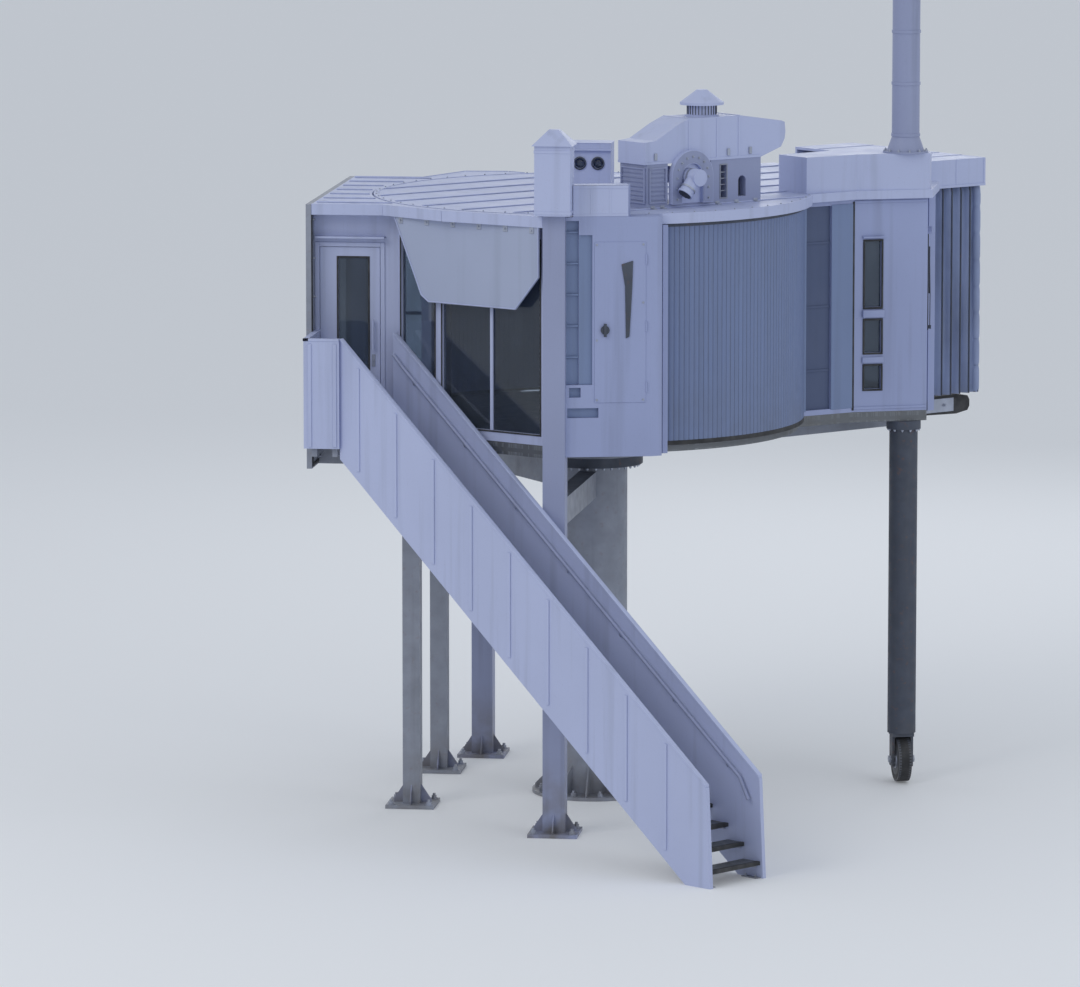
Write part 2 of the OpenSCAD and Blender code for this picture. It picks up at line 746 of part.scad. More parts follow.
module cab_roof() {
    color(white) on_cab() translate([0, 0, roof_level]) linear_extrude(roof_thick) {
        circle(r = roof_radius, $fn = 128);
        polygon([[0, -cab_half_width - 90], [bay_start - 30, bay_y - 60],
            [bay_corner, bay_y - bay_depth - 80], [cab_front + front_thick, bay_y + 200],
            [cab_front + front_thick, cab_half_width + 90], [0, cab_half_width + 90]]);
    }
}

roof_box_height = 420;
module roof_box() {
    color(white) on_cab() translate([0, 0, roof_top + seat_gap]) linear_extrude(roof_box_height)
        polygon([[cab_edge_x - 20, -cab_half_width - 60], [bay_start, bay_y - 50],
            [bay_corner - 30, bay_y - bay_depth - 60], [bay_corner + 100, bay_y - bay_depth + 60],
            [bay_corner + 100, bay_y + 500], [cab_edge_x - 20, bay_y + 500]]);
}

mast_at = [bay_corner - 170, bay_y - bay_depth + 209];
module mast() {
    color(white) on_cab() translate([mast_at[0], mast_at[1], roof_top + roof_box_height + 2 * seat_gap]) {
        cylinder(d1 = mast_dia + 130, d2 = mast_dia, h = 180, $fn = 48);
        cylinder(d = mast_dia, h = mast_top - wall_height - roof_thick - roof_box_height, $fn = 48);
    }
}

castor_r = 260;
castor_width = 150;
castor_clear = 15;
fork_top = 2 * castor_r + castor_clear + 60;
module support_leg() {
    color(dark) on_cab() translate([mast_at[0], mast_at[1], 0]) {
        translate([0, 0, fork_top]) cylinder(d = mast_dia + 10, h = cab_under - fork_top - 100, $fn = 48);
        translate([0, 0, cab_under - 100]) cylinder(d = mast_dia + 80, h = 100 - seat_gap, $fn = 48);
        rotate([0, 0, atan2(mast_at[1], mast_at[0])]) {
            translate([-castor_width / 2 - 50, -130, fork_top - 40])
                cube([castor_width + 100, 260, 41]);
            for (x = [-castor_width / 2 - 50, castor_width / 2 + 20])
                translate([x, -80, castor_r + castor_clear - 80])
                    cube([30, 160, fork_top - castor_r - castor_clear + 60]);
            translate([-castor_width / 2 - 70, 0, castor_r + castor_clear]) rotate([0, 90, 0])
                cylinder(r = 35, h = castor_width + 140, $fn = 32);
            translate([-castor_width / 2, 0, castor_r + castor_clear]) rotate([0, 90, 0])
                cylinder(r = castor_r, h = castor_width, $fn = 64);
        }
    }
}

/* Equipment on the cab roof: a plenum on a skid, an end block and a long hood over both */
equipment_at = polar(roof_radius - 525, -110.8);
base_length = 300;
base_rise = 500;
end_block = [930, 1660];
skid_rise = 40;
module on_equipment(height) on_cab() translate([equipment_at[0], equipment_at[1], roof_top + height])
    children();
module equipment_base() {
    color(grey) on_equipment(seat_gap) difference() {
        union() {
            cube([end_block[1], housing_depth, skid_rise]);
            cube([base_length, housing_depth, base_rise]);
            translate([end_block[0], 0, 0]) cube([end_block[1] - end_block[0], housing_depth, base_rise]);
        }
        translate([end_block[0] + 140, -1, 70]) cube([85, housing_depth + 2, base_rise - 130]);
        for (y = [-1, housing_depth - 119]) translate([end_block[0] + 455, y + 120, 250]) rotate([90, 0, 0])
            cylinder(d = 110, h = 120, $fn = 32);
        for (y = [-1, housing_depth - 119]) translate([end_block[0] + 400, y, 70]) cube([110, 120, 180]);
    }
}
hood_rise = housing_height - base_rise;
module equipment_hood() {
    color(white) on_equipment(base_rise + 2 * seat_gap) translate([0, housing_depth, 0]) rotate([90, 0, 0])
        linear_extrude(housing_depth) polygon([[-30, 0], [end_block[1], 0], [housing_length - 65, 100],
            [housing_length - 12, 190], [housing_length, 270], [housing_length - 12, hood_rise - 110],
            [housing_length - 60, hood_rise - 92], [end_block[0] + 420, hood_rise], [610, hood_rise],
            [430, hood_rise - 70], [130, 265], [-30, 250]]);
}

// Arched surround in front of the near side, with a bent duct that comes out of it
arch_width = 600;
arch_band = 150;
arch_spring = 300;
arch_stand = 60;
duct_dia = 190;
duct_reach = 250;
module arch_shape(width, spring) {
    translate([-width / 2, 0]) square([width, spring]);
    translate([0, spring]) circle(d = width, $fn = 64);
}
module intake_arch() {
    color(white) on_equipment(skid_rise + 2 * seat_gap) translate([(base_length + end_block[0]) / 2, 0, 0]) {
        translate([0, -seat_gap, 0]) rotate([90, 0, 0]) linear_extrude(arch_stand) difference() {
            arch_shape(arch_width, arch_spring);
            translate([0, -1]) arch_shape(arch_width - 2 * arch_band, arch_spring);
        }
        translate([0, -seat_gap, 0]) rotate([90, 0, 0]) linear_extrude(arch_stand / 4)
            arch_shape(arch_width - arch_band, arch_spring);
        translate([-40, housing_depth - 80, arch_spring]) rotate([90, 0, 0])
            cylinder(d = duct_dia, h = housing_depth - 80 + duct_reach, $fn = 48);
        translate([-40, duct_dia / 2 - duct_reach, arch_spring]) rotate([0, -140, 0]) {
            cylinder(d = duct_dia - 26, h = 240, $fn = 48);
            translate([0, 0, 215]) cylinder(d = duct_dia - 8, h = 25, $fn = 48);
        }
    }
}

cowl_x = 990;
module cowl() {
    color(white) on_equipment(housing_height + 3 * seat_gap) translate([cowl_x, housing_depth / 2, 0]) {
        cylinder(d = 330, h = 130, $fn = 48);
        translate([0, 0, 130]) cylinder(d = 490, h = 25, $fn = 48);
        translate([0, 0, 155]) cylinder(d1 = 490, d2 = 120, h = 140, $fn = 48);
    }
}

lamp_width = 500;
module lamp_box() {
    color(white) on_cab() rotate([0, 0, -cab_heading]) translate([-360, 560, roof_top + seat_gap])
        difference() {
            cube([lamp_width, 360, 520]);
            for (x = [140, 350]) translate([x, -1, 290]) rotate([-90, 0, 0])
                cylinder(d = 120, h = 120, $fn = 32);
        }
}

pedestal();
slewing_ring();
crossbeam();
link_beams();
rear_trestle();
link_floor();
link_near_wall();
link_far_wall();
link_glazing();
link_roof();
wall_flange();
near_column();
far_column();
column_head();
near_wing_wall();
far_wing_wall();
curtain_housing();
near_curtain();
far_curtain();
weather_screen();
landing();
landing_parapet();
stair_near_balustrade();
stair_far_balustrade();
stair_treads();
service_door();
door_glazing();
turntable();
cab_floor();
operator_side_wall();
far_side_wall();
operator_glazing();
front_frame();
canopy_bellows();
canopy_hood();
front_bumper();
cab_roof();
roof_box();
mast();
support_leg();
equipment_base();
equipment_hood();
intake_arch();
cowl();
lamp_box();
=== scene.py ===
"""Dresses the boarding bridge: paint, slat curtains, canopy cloth, fixings, studio and camera.

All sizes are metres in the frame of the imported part: +Z up, X along the link, the cab turned
45 degrees to the left of it. Cab pieces are built in the cab's own axes and turned into place.
"""

import logging
import math
import random
from dataclasses import dataclass
from enum import Enum
from functools import cache
from typing import Optional, Sequence

import bmesh
import bpy
from mathutils import Matrix, Vector


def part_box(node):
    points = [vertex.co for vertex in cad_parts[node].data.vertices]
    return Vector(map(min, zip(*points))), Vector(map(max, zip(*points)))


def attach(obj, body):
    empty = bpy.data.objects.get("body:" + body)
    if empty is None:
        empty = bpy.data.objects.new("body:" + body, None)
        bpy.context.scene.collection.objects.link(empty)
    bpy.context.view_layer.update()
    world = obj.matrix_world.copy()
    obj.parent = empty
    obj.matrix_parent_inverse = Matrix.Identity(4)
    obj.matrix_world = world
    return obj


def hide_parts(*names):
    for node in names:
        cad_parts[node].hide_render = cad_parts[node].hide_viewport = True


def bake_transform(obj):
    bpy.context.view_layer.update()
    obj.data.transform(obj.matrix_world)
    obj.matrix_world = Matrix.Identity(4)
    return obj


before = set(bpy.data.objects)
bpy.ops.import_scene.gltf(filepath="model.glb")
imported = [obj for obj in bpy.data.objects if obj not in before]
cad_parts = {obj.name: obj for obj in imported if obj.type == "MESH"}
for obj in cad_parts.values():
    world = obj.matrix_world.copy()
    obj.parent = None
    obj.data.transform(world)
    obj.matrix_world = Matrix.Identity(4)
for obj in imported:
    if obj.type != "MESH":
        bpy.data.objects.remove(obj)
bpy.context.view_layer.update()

log = logging.getLogger("bridge")
logging.basicConfig(level=logging.INFO, format="%(message)s")

Colour = tuple[float, float, float]
Point = Sequence[float]

# Levels and radii shared by the assemblies
FLOOR = 4.4
ROOF_UNDER = 6.88
ROOF_TOP = 6.98
CURTAIN_RADIUS = 2.43
ROOF_RADIUS = 2.52
HEADING = math.radians(45.0)
SKIN = 0.0004  # air left between a dressing plate and the wall it lies on

ROW = Matrix.Identity(4)
CAB = Matrix.Rotation(HEADING, 4, "Z")


# ---------------------------------------------------------------- materials


class Board:
    """Lays out the nodes of one material and joins them."""

    def __init__(self, name: str) -> None:
        """Starts an empty material.

        Args:
            name: The material's name.
        """
        self.material = bpy.data.materials.new(name)
        self.material.use_nodes = True
        self.tree = self.material.node_tree
        self.tree.nodes.clear()
        self.shader = self.node("ShaderNodeBsdfPrincipled")
        out = self.node("ShaderNodeOutputMaterial")
        self.tree.links.new(self.shader.outputs["BSDF"], out.inputs["Surface"])

    def node(self, kind: str, **settings: object) -> bpy.types.Node:
        """Adds a node.

        Args:
            kind: Blender's node type.
            settings: Properties to set on it.

        Returns:
            The new node.
        """
        made = self.tree.nodes.new(kind)
        for key, value in settings.items():
            setattr(made, key, value)
        return made

    def feed(self, socket: bpy.types.NodeSocket, value: object) -> None:
        """Sets a socket to a number or joins it to another node's output.

        Args:
            socket: The input.
            value: A number, a colour or an output socket.
        """
        if isinstance(value, bpy.types.NodeSocket):
            self.tree.links.new(value, socket)
        else:
            socket.default_value = (*value, 1.0) if isinstance(value, tuple) else value

    def place(self, stretch: Point = (1, 1, 1), flat: bool = False) -> bpy.types.NodeSocket:
        """Coordinates for a pattern.

        Args:
            stretch: Scale along each axis.
            flat: True reads the piece's own UV map, False its Object coordinates.

        Returns:
            The vector output.
        """
        source = self.node("ShaderNodeTexCoord").outputs["UV" if flat else "Object"]
        mapping = self.node("ShaderNodeMapping")
        self.tree.links.new(source, mapping.inputs["Vector"])
        mapping.inputs["Scale"].default_value = stretch
        return mapping.outputs["Vector"]

    def noise(self, scale: float, detail: float = 3.0, stretch: Point = (1, 1, 1),
              flat: bool = False) -> bpy.types.NodeSocket:
        """A cloudy pattern from 0 to 1.

        Args:
            scale: Features per metre, about.
            detail: Octaves.
            stretch: Scale along each axis.
            flat: True to read the UV map.

        Returns:
            The value output.
        """
        made = self.node("ShaderNodeTexNoise")
        self.feed(made.inputs["Vector"], self.place(stretch, flat))
        made.inputs["Scale"].default_value = scale
        made.inputs["Detail"].default_value = detail
        return made.outputs["Fac"]

    def spread(self, value: bpy.types.NodeSocket, low: float, high: float, to_low: float = 0.0,
               to_high: float = 1.0) -> bpy.types.NodeSocket:
        """Maps low..high of a value onto to_low..to_high, clamped.

        Args:
            value: The input value.
            low: Where to_low is reached.
            high: Where to_high is reached.
            to_low: Result at low.
            to_high: Result at high.

        Returns:
            The mapped value.
        """
        made = self.node("ShaderNodeMapRange", clamp=True)
        self.feed(made.inputs["Value"], value)
        for name, number in (("From Min", low), ("From Max", high), ("To Min", to_low),
                             ("To Max", to_high)):
            made.inputs[name].default_value = number
        return made.outputs["Result"]

    def tint(self, share: object, one: object, two: object) -> bpy.types.NodeSocket:
        """Mixes two colours.

        Args:
            share: How much of the second shows.
            one: First colour or socket.
            two: Second colour or socket.

        Returns:
            The mixed colour.
        """
        made = self.node("ShaderNodeMix", data_type="RGBA")
        self.feed(made.inputs[0], share)
        self.feed(made.inputs[6], one)
        self.feed(made.inputs[7], two)
        return made.outputs[2]

    def sum(self, how: str, one: object, two: object) -> bpy.types.NodeSocket:
        """One step of arithmetic.

        Args:
            how: Blender's operation name.
            one: First value.
            two: Second value.

        Returns:
            The result.
        """
        made = self.node("ShaderNodeMath", operation=how)
        self.feed(made.inputs[0], one)
        self.feed(made.inputs[1], two)
        return made.outputs[0]

    def height(self) -> bpy.types.NodeSocket:
        """The height over the apron in metres."""
        made = self.node("ShaderNodeSeparateXYZ")
        self.feed(made.inputs[0], self.node("ShaderNodeTexCoord").outputs["Object"])
        return made.outputs["Z"]

    def dent(self, value: bpy.types.NodeSocket, strength: float, depth: float,
             after: Optional[bpy.types.NodeSocket] = None) -> bpy.types.NodeSocket:
        """Turns a value into a bump.

        Args:
            value: The height pattern.
            strength: How strongly it shows.
            depth: Its depth in metres.
            after: An earlier bump to add to.

        Returns:
            The normal output.
        """
        made = self.node("ShaderNodeBump")
        made.inputs["Strength"].default_value = strength
        made.inputs["Distance"].default_value = depth
        self.feed(made.inputs["Height"], value)
        if after is not None:
            self.tree.links.new(after, made.inputs["Normal"])
        return made.outputs["Normal"]

    def done(self, colour: object, rough: object, normal: Optional[bpy.types.NodeSocket] = None,
             **fixed: object) -> bpy.types.Material:
        """Joins the results to the shader.

        Args:
            colour: The base colour.
            rough: The roughness.
            normal: The bumped normal.
            fixed: Plain numbers for the shader's own sockets, with _ for a space.

        Returns:
            The finished material.
        """
        self.feed(self.shader.inputs["Base Color"], colour)
        self.feed(self.shader.inputs["Roughness"], rough)
        if normal is not None:
            self.tree.links.new(normal, self.shader.inputs["Normal"])
        for name, number in fixed.items():
            self.shader.inputs[name.replace("_", " ")].default_value = number
        return self.material


def lighter(colour: Colour, by: float) -> Colour:
    """A colour made lighter, or darker where the factor is below 1.

    Args:
        colour: The colour.
        by: The factor.

    Returns:
        The new colour.
    """
    return tuple(min(1.0, c * by) for c in colour)


@dataclass(frozen=True)
class Paint:
    """Gloss paint on sheet steel, with rain streaks, dust and slight waves in the sheet."""

    name: str
    slot: str
    colour: Colour
    grime: Colour
    streaks: float = 0.35
    gloss: float = 0.42
    wave: float = 0.004
    low_dirt: float = 0.0
    mud: Colour = (0.16, 0.145, 0.125)

    def build(self) -> bpy.types.Material:
        """Makes the material."""
        board = Board(self.name)
        patches = board.spread(board.noise(0.8, 4.0), 0.3, 0.7)
        colour = board.tint(patches, self.colour, lighter(self.colour, 1.07))
        rain = board.spread(board.noise(7.0, 5.0, (1.0, 1.0, 0.045)), 0.52, 0.78, 0.0, self.streaks)
        colour = board.tint(rain, colour, self.grime)
        specks = board.spread(board.noise(95.0, 2.0), 0.66, 0.74, 0.0, 0.3)
        colour = board.tint(specks, colour, self.grime)
        if self.low_dirt:
            foot = board.spread(board.height(), 0.9, 0.02, 0.0, self.low_dirt)
            mud = board.sum("MULTIPLY", foot, board.spread(board.noise(4.0, 5.0), 0.3, 0.6))
            colour = board.tint(mud, colour, self.mud)
        rough = board.spread(board.noise(2.4, 3.0), 0.3, 0.7, self.gloss, self.gloss + 0.16)
        orange_peel = board.dent(board.noise(320.0, 2.0), 0.08, 0.0005)
        normal = board.dent(board.noise(1.7, 2.0), 0.55, self.wave, orange_peel)
        return board.done(colour, rough, normal, Specular_IOR_Level=0.45)


@dataclass(frozen=True)
class Slats:
    """Coated curtain slats. Each slat has its own tone from the mesh's slat_tone attribute."""

    name: str
    slot: str
    colour: Colour
    grime: Colour

    def build(self) -> bpy.types.Material:
        """Makes the material."""
        board = Board(self.name)
        tone = board.node("ShaderNodeAttribute", attribute_name="slat_tone").outputs["Fac"]
        colour = board.tint(tone, lighter(self.colour, 0.95), lighter(self.colour, 1.05))
        wipe = board.spread(board.noise(2.0, 4.0, (14.0, 0.5, 1.0), flat=True), 0.45, 0.8, 0.0, 0.35)
        colour = board.tint(wipe, colour, self.grime)
        dust = board.spread(board.height(), 5.3, 4.36, 0.0, 0.4)
        dust = board.sum("MULTIPLY", dust, board.spread(board.noise(3.0, 4.0, flat=True), 0.3, 0.65))
        colour = board.tint(dust, colour, self.grime)
        rough = board.spread(board.noise(6.0, 2.0, flat=True), 0.3, 0.7, 0.42, 0.56)
        normal = board.dent(board.noise(60.0, 3.0, (5.0, 0.3, 1.0), flat=True), 0.12, 0.0008)
        return board.done(colour, rough, normal, Specular_IOR_Level=0.4)


@dataclass(frozen=True)
class Steel:
    """Structural or bare steel: mottled, dusty, with a little rust."""

    name: str
    slot: str
    colour: Colour
    rust: float = 0.15
    metallic: float = 0.0
    rough: float = 0.5
    rust_colour: Colour = (0.20, 0.085, 0.04)
    soot: Colour = (0.10, 0.10, 0.105)
    mud: Colour = (0.17, 0.15, 0.13)

    def build(self) -> bpy.types.Material:
        """Makes the material."""
        board = Board(self.name)
        mottle = board.spread(board.noise(5.0, 5.0), 0.3, 0.7)
        colour = board.tint(mottle, self.colour, lighter(self.colour, 1.25))
        spots = board.spread(board.noise(17.0, 6.0), 0.6, 0.72, 0.0, self.rust)
        colour = board.tint(spots, colour, self.rust_colour)
        rain = board.spread(board.noise(9.0, 4.0, (1.0, 1.0, 0.05)), 0.55, 0.8, 0.0, 0.3)
        colour = board.tint(rain, colour, self.soot)
        foot = board.spread(board.height(), 0.8, 0.02, 0.0, 0.5)
        mud = board.sum("MULTIPLY", foot, board.spread(board.noise(6.0, 5.0), 0.3, 0.62))
        colour = board.tint(mud, colour, self.mud)
        rough = board.spread(board.noise(8.0, 3.0), 0.3, 0.7, self.rough - 0.08, self.rough + 0.14)
        normal = board.dent(board.noise(120.0, 4.0), 0.15, 0.0012)
        return board.done(colour, rough, normal, Metallic=self.metallic)


@dataclass(frozen=True)
class Deck:
    """Raised-pattern floor plate, worn pale on its high spots."""

    name: str
    slot: str
    colour: Colour
    dirt: Colour = (0.12, 0.115, 0.105)

    def build(self) -> bpy.types.Material:
        """Makes the material."""
        board = Board(self.name)
        bars = []
        for turn in (0.785, -0.785):
            spin = board.node("ShaderNodeVectorRotate", rotation_type="Z_AXIS")
            board.feed(spin.inputs["Vector"], board.place())
            spin.inputs["Angle"].default_value = turn
            cells = board.node("ShaderNodeTexVoronoi", feature="F1", distance="CHEBYCHEV")
            squeeze = board.node("ShaderNodeMapping")
            board.feed(squeeze.inputs["Vector"], spin.outputs[0])
            squeeze.inputs["Scale"].default_value = (1.0, 4.0, 1.0)
            board.feed(cells.inputs["Vector"], squeeze.outputs[0])
            cells.inputs["Scale"].default_value = 11.0
            cells.inputs["Randomness"].default_value = 0.0
            bars.append(board.spread(cells.outputs["Distance"], 0.30, 0.20))
        raised = board.sum("MAXIMUM", bars[0], bars[1])
        worn = board.sum("MULTIPLY", raised, board.spread(board.noise(1.5, 4.0), 0.35, 0.65, 0.1, 0.7))
        colour = board.tint(worn, self.colour, lighter(self.colour, 1.7))
        dirt = board.spread(board.noise(3.0, 5.0), 0.5, 0.75, 0.0, 0.5)
        colour = board.tint(dirt, colour, self.dirt)
        rough = board.spread(board.noise(14.0, 3.0), 0.3, 0.7, 0.34, 0.56)
        normal = board.dent(raised, 0.6, 0.003)
        return board.done(colour, rough, normal, Metallic=0.55)


@dataclass(frozen=True)
class Glass:
    """Tinted window glass with smears."""

    name: str
    slot: str
    colour: Colour
    clear: float = 0.75

    def build(self) -> bpy.types.Material:
        """Makes the material."""
        board = Board(self.name)
        smear = board.spread(board.noise(3.0, 5.0, (1.0, 1.0, 0.3)), 0.45, 0.75)
        colour = board.tint(smear, self.colour, tuple(min(1.0, c * 1.2 + 0.02) for c in self.colour))
        rough = board.spread(board.noise(2.2, 4.0), 0.4, 0.8, 0.02, 0.08)
        normal = board.dent(board.noise(1.2, 1.0), 0.12, 0.002)
        return board.done(colour, rough, normal, Transmission_Weight=self.clear, IOR=1.45)


@dataclass(frozen=True)
class Cloth:
    """Coated canopy fabric: fine weave, stains, painted light on the fold ridges and painted shade in the
    valleys.
    """

    name: str
    slot: str
    colour: Colour
    ridge_highlight: Colour
    stain: Colour = (0.075, 0.08, 0.085)

    def build(self) -> bpy.types.Material:
        """Makes the material."""
        board = Board(self.name)
        waves = []
        for axis in ("X", "Y"):
            wave = board.node("ShaderNodeTexWave", wave_type="BANDS", bands_direction=axis)
            board.feed(wave.inputs["Vector"], board.place(flat=True))
            wave.inputs["Scale"].default_value = 70.0
            wave.inputs["Distortion"].default_value = 0.6
            waves.append(wave.outputs["Fac"])
        weave = board.sum("MULTIPLY", waves[0], waves[1])
        # Painted light and shade on the folds: ridges take the lighter colour, valleys keep the darker one.
        ridge = board.node("ShaderNodeAttribute", attribute_name="fold_light").outputs["Fac"]
        ridge_light_share = board.sum("MULTIPLY", ridge, board.spread(board.noise(5.0, 4.0), 0.25, 0.7, 0.45, 1.0))
        colour = board.tint(ridge_light_share, self.colour, self.ridge_highlight)
        stain = board.spread(board.noise(2.6, 5.0, (1.0, 1.0, 0.3)), 0.5, 0.8, 0.0, 0.4)
        colour = board.tint(stain, colour, self.stain)
        rough = board.spread(board.noise(9.0, 3.0), 0.3, 0.7, 0.66, 0.84)
        creases = board.dent(board.noise(16.0, 4.0), 0.3, 0.006)
        normal = board.dent(weave, 0.25, 0.0009, creases)
        return board.done(colour, rough, normal, Sheen_Weight=0.25, Sheen_Roughness=0.5)


@dataclass(frozen=True)
class Rubber:
    """Black rubber, dusty and scuffed."""

    name: str
    slot: str
    colour: Colour = (0.022, 0.023, 0.026)
    dust: Colour = (0.13, 0.13, 0.135)

    def build(self) -> bpy.types.Material:
        """Makes the material."""
        board = Board(self.name)
        dust = board.spread(board.noise(6.0, 5.0), 0.42, 0.75, 0.0, 0.35)
        colour = board.tint(dust, self.colour, self.dust)
        rough = board.spread(board.noise(11.0, 3.0), 0.3, 0.7, 0.6, 0.82)
        normal = board.dent(board.noise(85.0, 4.0), 0.2, 0.0012)
        return board.done(colour, rough, normal)


@dataclass(frozen=True)
class Ground:
    """The pale studio floor, which isn't part of the object."""

    name: str = "studio_floor"
    slot: str = ""
    colour: Colour = (0.78, 0.79, 0.81)

    def build(self) -> bpy.types.Material:
        """Makes the material."""
        board = Board(self.name)
        board.shader.inputs["Emission Color"].default_value = (*self.colour, 1.0)
        return board.done(self.colour, 0.9, Specular_IOR_Level=0.1, Emission_Strength=0.12)


class Finish(Enum):
    """The finishes of the bridge."""

    WHITE = Paint("white_paint", "white_paint", (0.44, 0.485, 0.69), (0.21, 0.235, 0.32), 0.32, 0.40)
    # The next two are darker copies of the white paint, with painted shade in their colour for upright walls,
    # columns and the mast.
    WALL = Paint("shaded_wall_paint", "white_paint", (0.31, 0.355, 0.56), (0.16, 0.18, 0.26), 0.32, 0.42)
    COLUMN = Paint("shaded_column_paint", "white_paint", (0.285, 0.317, 0.475), (0.16, 0.175, 0.23), 0.4, 0.42,
                   0.002, 0.8)
    SLATS = Slats("slat_coating", "slate_slats", (0.165, 0.215, 0.375), (0.14, 0.165, 0.23))
    SCREEN = Paint("screen_paint", "slate_slats", (0.36, 0.405, 0.55), (0.20, 0.23, 0.31), 0.25, 0.5)
    SLATE = Paint("slate_paint", "slate_slats", (0.175, 0.23, 0.385), (0.11, 0.135, 0.19), 0.3, 0.45)
    # The next paint is the slate paint darkened, as painted shade for the inside of a recess.
    SEAL = Paint("recess_shade_paint", "slate_slats", (0.08, 0.105, 0.19), (0.06, 0.07, 0.1), 0.3, 0.6)
    GREY = Steel("grey_steel", "grey_steel", (0.235, 0.255, 0.31), 0.18, 0.0, 0.5)
    DARK = Steel("dark_steel", "dark_steel", (0.055, 0.065, 0.09), 0.3, 0.2, 0.55)
    ZINC = Steel("zinc_fixings", "grey_steel", (0.34, 0.37, 0.45), 0.06, 0.6, 0.42)
    DECK = Deck("floor_deck", "floor_deck", (0.14, 0.15, 0.165))
    GLASS = Glass("window_glass", "window_glass", (0.34, 0.40, 0.48), 0.94)
    TINTED = Glass("tinted_glass", "window_glass", (0.085, 0.11, 0.15), 0.6)
    # The canopy's second colour is painted light for its fold ridges; its first shows in the valleys as
    # painted shade.
    CLOTH = Cloth("canopy_fabric", "canopy_fabric", (0.215, 0.265, 0.435), (0.30, 0.355, 0.54))
    RUBBER = Rubber("black_rubber", "black_rubber")


@cache
def material_of(finish: Finish) -> bpy.types.Material:
    """Builds a finish's material once and then gives it again.

    Args:
        finish: The finish.

    Returns:
        Its material.
    """
    return finish.value.build()


# ---------------------------------------------------------------- mesh tools


def verts_of(faces: Sequence[bmesh.types.BMFace]) -> list[bmesh.types.BMVert]:
    """The vertices of some faces, each once, in a steady order."""
    return list(dict.fromkeys(v for f in faces for v in f.verts))


def soften(bm: bmesh.types.BMesh, verts: Sequence[bmesh.types.BMVert], round_by: float,
           steps: int) -> list[bmesh.types.BMVert]:
    """Bevels every edge of a solid.

    Args:
        bm: The mesh.
        verts: The solid's vertices.
        round_by: Width of the bevel.
        steps: Faces across the bevel.

    Returns:
        Its new vertices.
    """
    edges = list(dict.fromkeys(e for v in verts for e in v.link_edges))
    cut = bmesh.ops.bevel(bm, geom=edges, offset=round_by, segments=steps, affect="EDGES",
                          profile=0.5, material=-1, clamp_overlap=True)
    return verts_of(cut["faces"])


def block(bm: bmesh.types.BMesh, low: Point, high: Point, round_by: float = 0.0, steps: int = 1,
          turn: Matrix = ROW) -> list[bmesh.types.BMVert]:
    """Adds a block between two corners.

    Args:
        bm: The mesh.
        low: Its lowest corner.
        high: Its highest corner.
        round_by: Width of the bevel on its edges.
        steps: Faces across the bevel.
        turn: Moves it into place.

    Returns:
        Its vertices.
    """
    low, high = Vector(low), Vector(high)
    made = bmesh.ops.create_cube(bm, size=1.0)["verts"]
    bmesh.ops.scale(bm, vec=high - low, verts=made)
    bmesh.ops.translate(bm, vec=(high + low) / 2, verts=made)
    if round_by:
        made = soften(bm, made, round_by, steps)
    bmesh.ops.transform(bm, matrix=turn, verts=made)
    return made


def rod(bm: bmesh.types.BMesh, start: Point, end: Point, radius: float, sides: int = 16,
        end_radius: Optional[float] = None, turn: Matrix = ROW) -> list[bmesh.types.BMVert]:
    """Adds a round bar or a cone between two points.

    Args:
        bm: The mesh.
        start: Middle of its first end.
        end: Middle of its other end.
        radius: Its radius.
        sides: Its number of sides.
        end_radius: The radius at the other end, if it tapers.
        turn: Moves it into place.

    Returns:
        Its vertices.
    """
    start, end = Vector(start), Vector(end)
    span = end - start
    facing = span.to_track_quat("Z", "Y").to_matrix().to_4x4()
    return bmesh.ops.create_cone(
        bm, cap_ends=True, segments=sides, radius1=radius,
        radius2=radius if end_radius is None else end_radius, depth=span.length,
        matrix=turn @ Matrix.Translation((start + end) / 2) @ facing)["verts"]


def nut(bm: bmesh.types.BMesh, at: Point, way: Point, across: float, turn: Matrix = ROW,
        shank: float = 0.4) -> None:
    """Adds a washer, a hexagon nut and the end of its bolt.

    Args:
        bm: The mesh.
        at: Where the washer sits.
        way: The direction in which the nut stands.
        across: Width of the hexagon over its corners.
        turn: Moves it into place.
        shank: How far the bolt stands out, as a share of across.
    """
    at, way = Vector(at), Vector(way).normalized() * across
    washer, top = 0.12, 0.62
    for low, high, radius, sides in ((0.0, washer, 0.75, 12), (washer, top, 0.5, 6),
                                     (top - 0.02, top + shank, 0.28, 8)):
        rod(bm, at + way * low, at + way * high, across * radius, sides, turn=turn)


def pipe(bm: bmesh.types.BMesh, points: Sequence[Point], radius: float, sides: int = 10,
         turn: Matrix = ROW) -> None:
    """Adds a round tube along points by extruding its ring.

    Args:
        bm: The mesh.
        points: The middle line.
        radius: The tube's radius.
        sides: Its number of sides.
        turn: Moves it into place.
    """
    line = [turn @ Vector(p) for p in points]
    ways = [(b - a).normalized() for a, b in zip(line, line[1:])]
    facing = ways[0].to_track_quat("Z", "Y")
    at = Matrix.Translation(line[0]) @ facing.to_matrix().to_4x4()
    ring = bmesh.ops.create_circle(bm, cap_ends=True, radius=radius, segments=sides, matrix=at)["verts"]
    edges = list(dict.fromkeys(e for v in ring for e in v.link_edges))
    last = ways[0]
    for i in range(1, len(line)):
        along = (ways[i - 1] + ways[min(i, len(ways) - 1)]).normalized()
        facing = last.rotation_difference(along) @ facing
        last = along
        new_at = Matrix.Translation(line[i]) @ facing.to_matrix().to_4x4()
        made = bmesh.ops.extrude_edge_only(bm, edges=edges)["geom"]
        verts = [g for g in made if isinstance(g, bmesh.types.BMVert)]
        edges = [g for g in made if isinstance(g, bmesh.types.BMEdge)]
        bmesh.ops.transform(bm, matrix=new_at @ at.inverted(), verts=verts)
        at = new_at
    bmesh.ops.edgeloop_fill(bm, edges=edges)


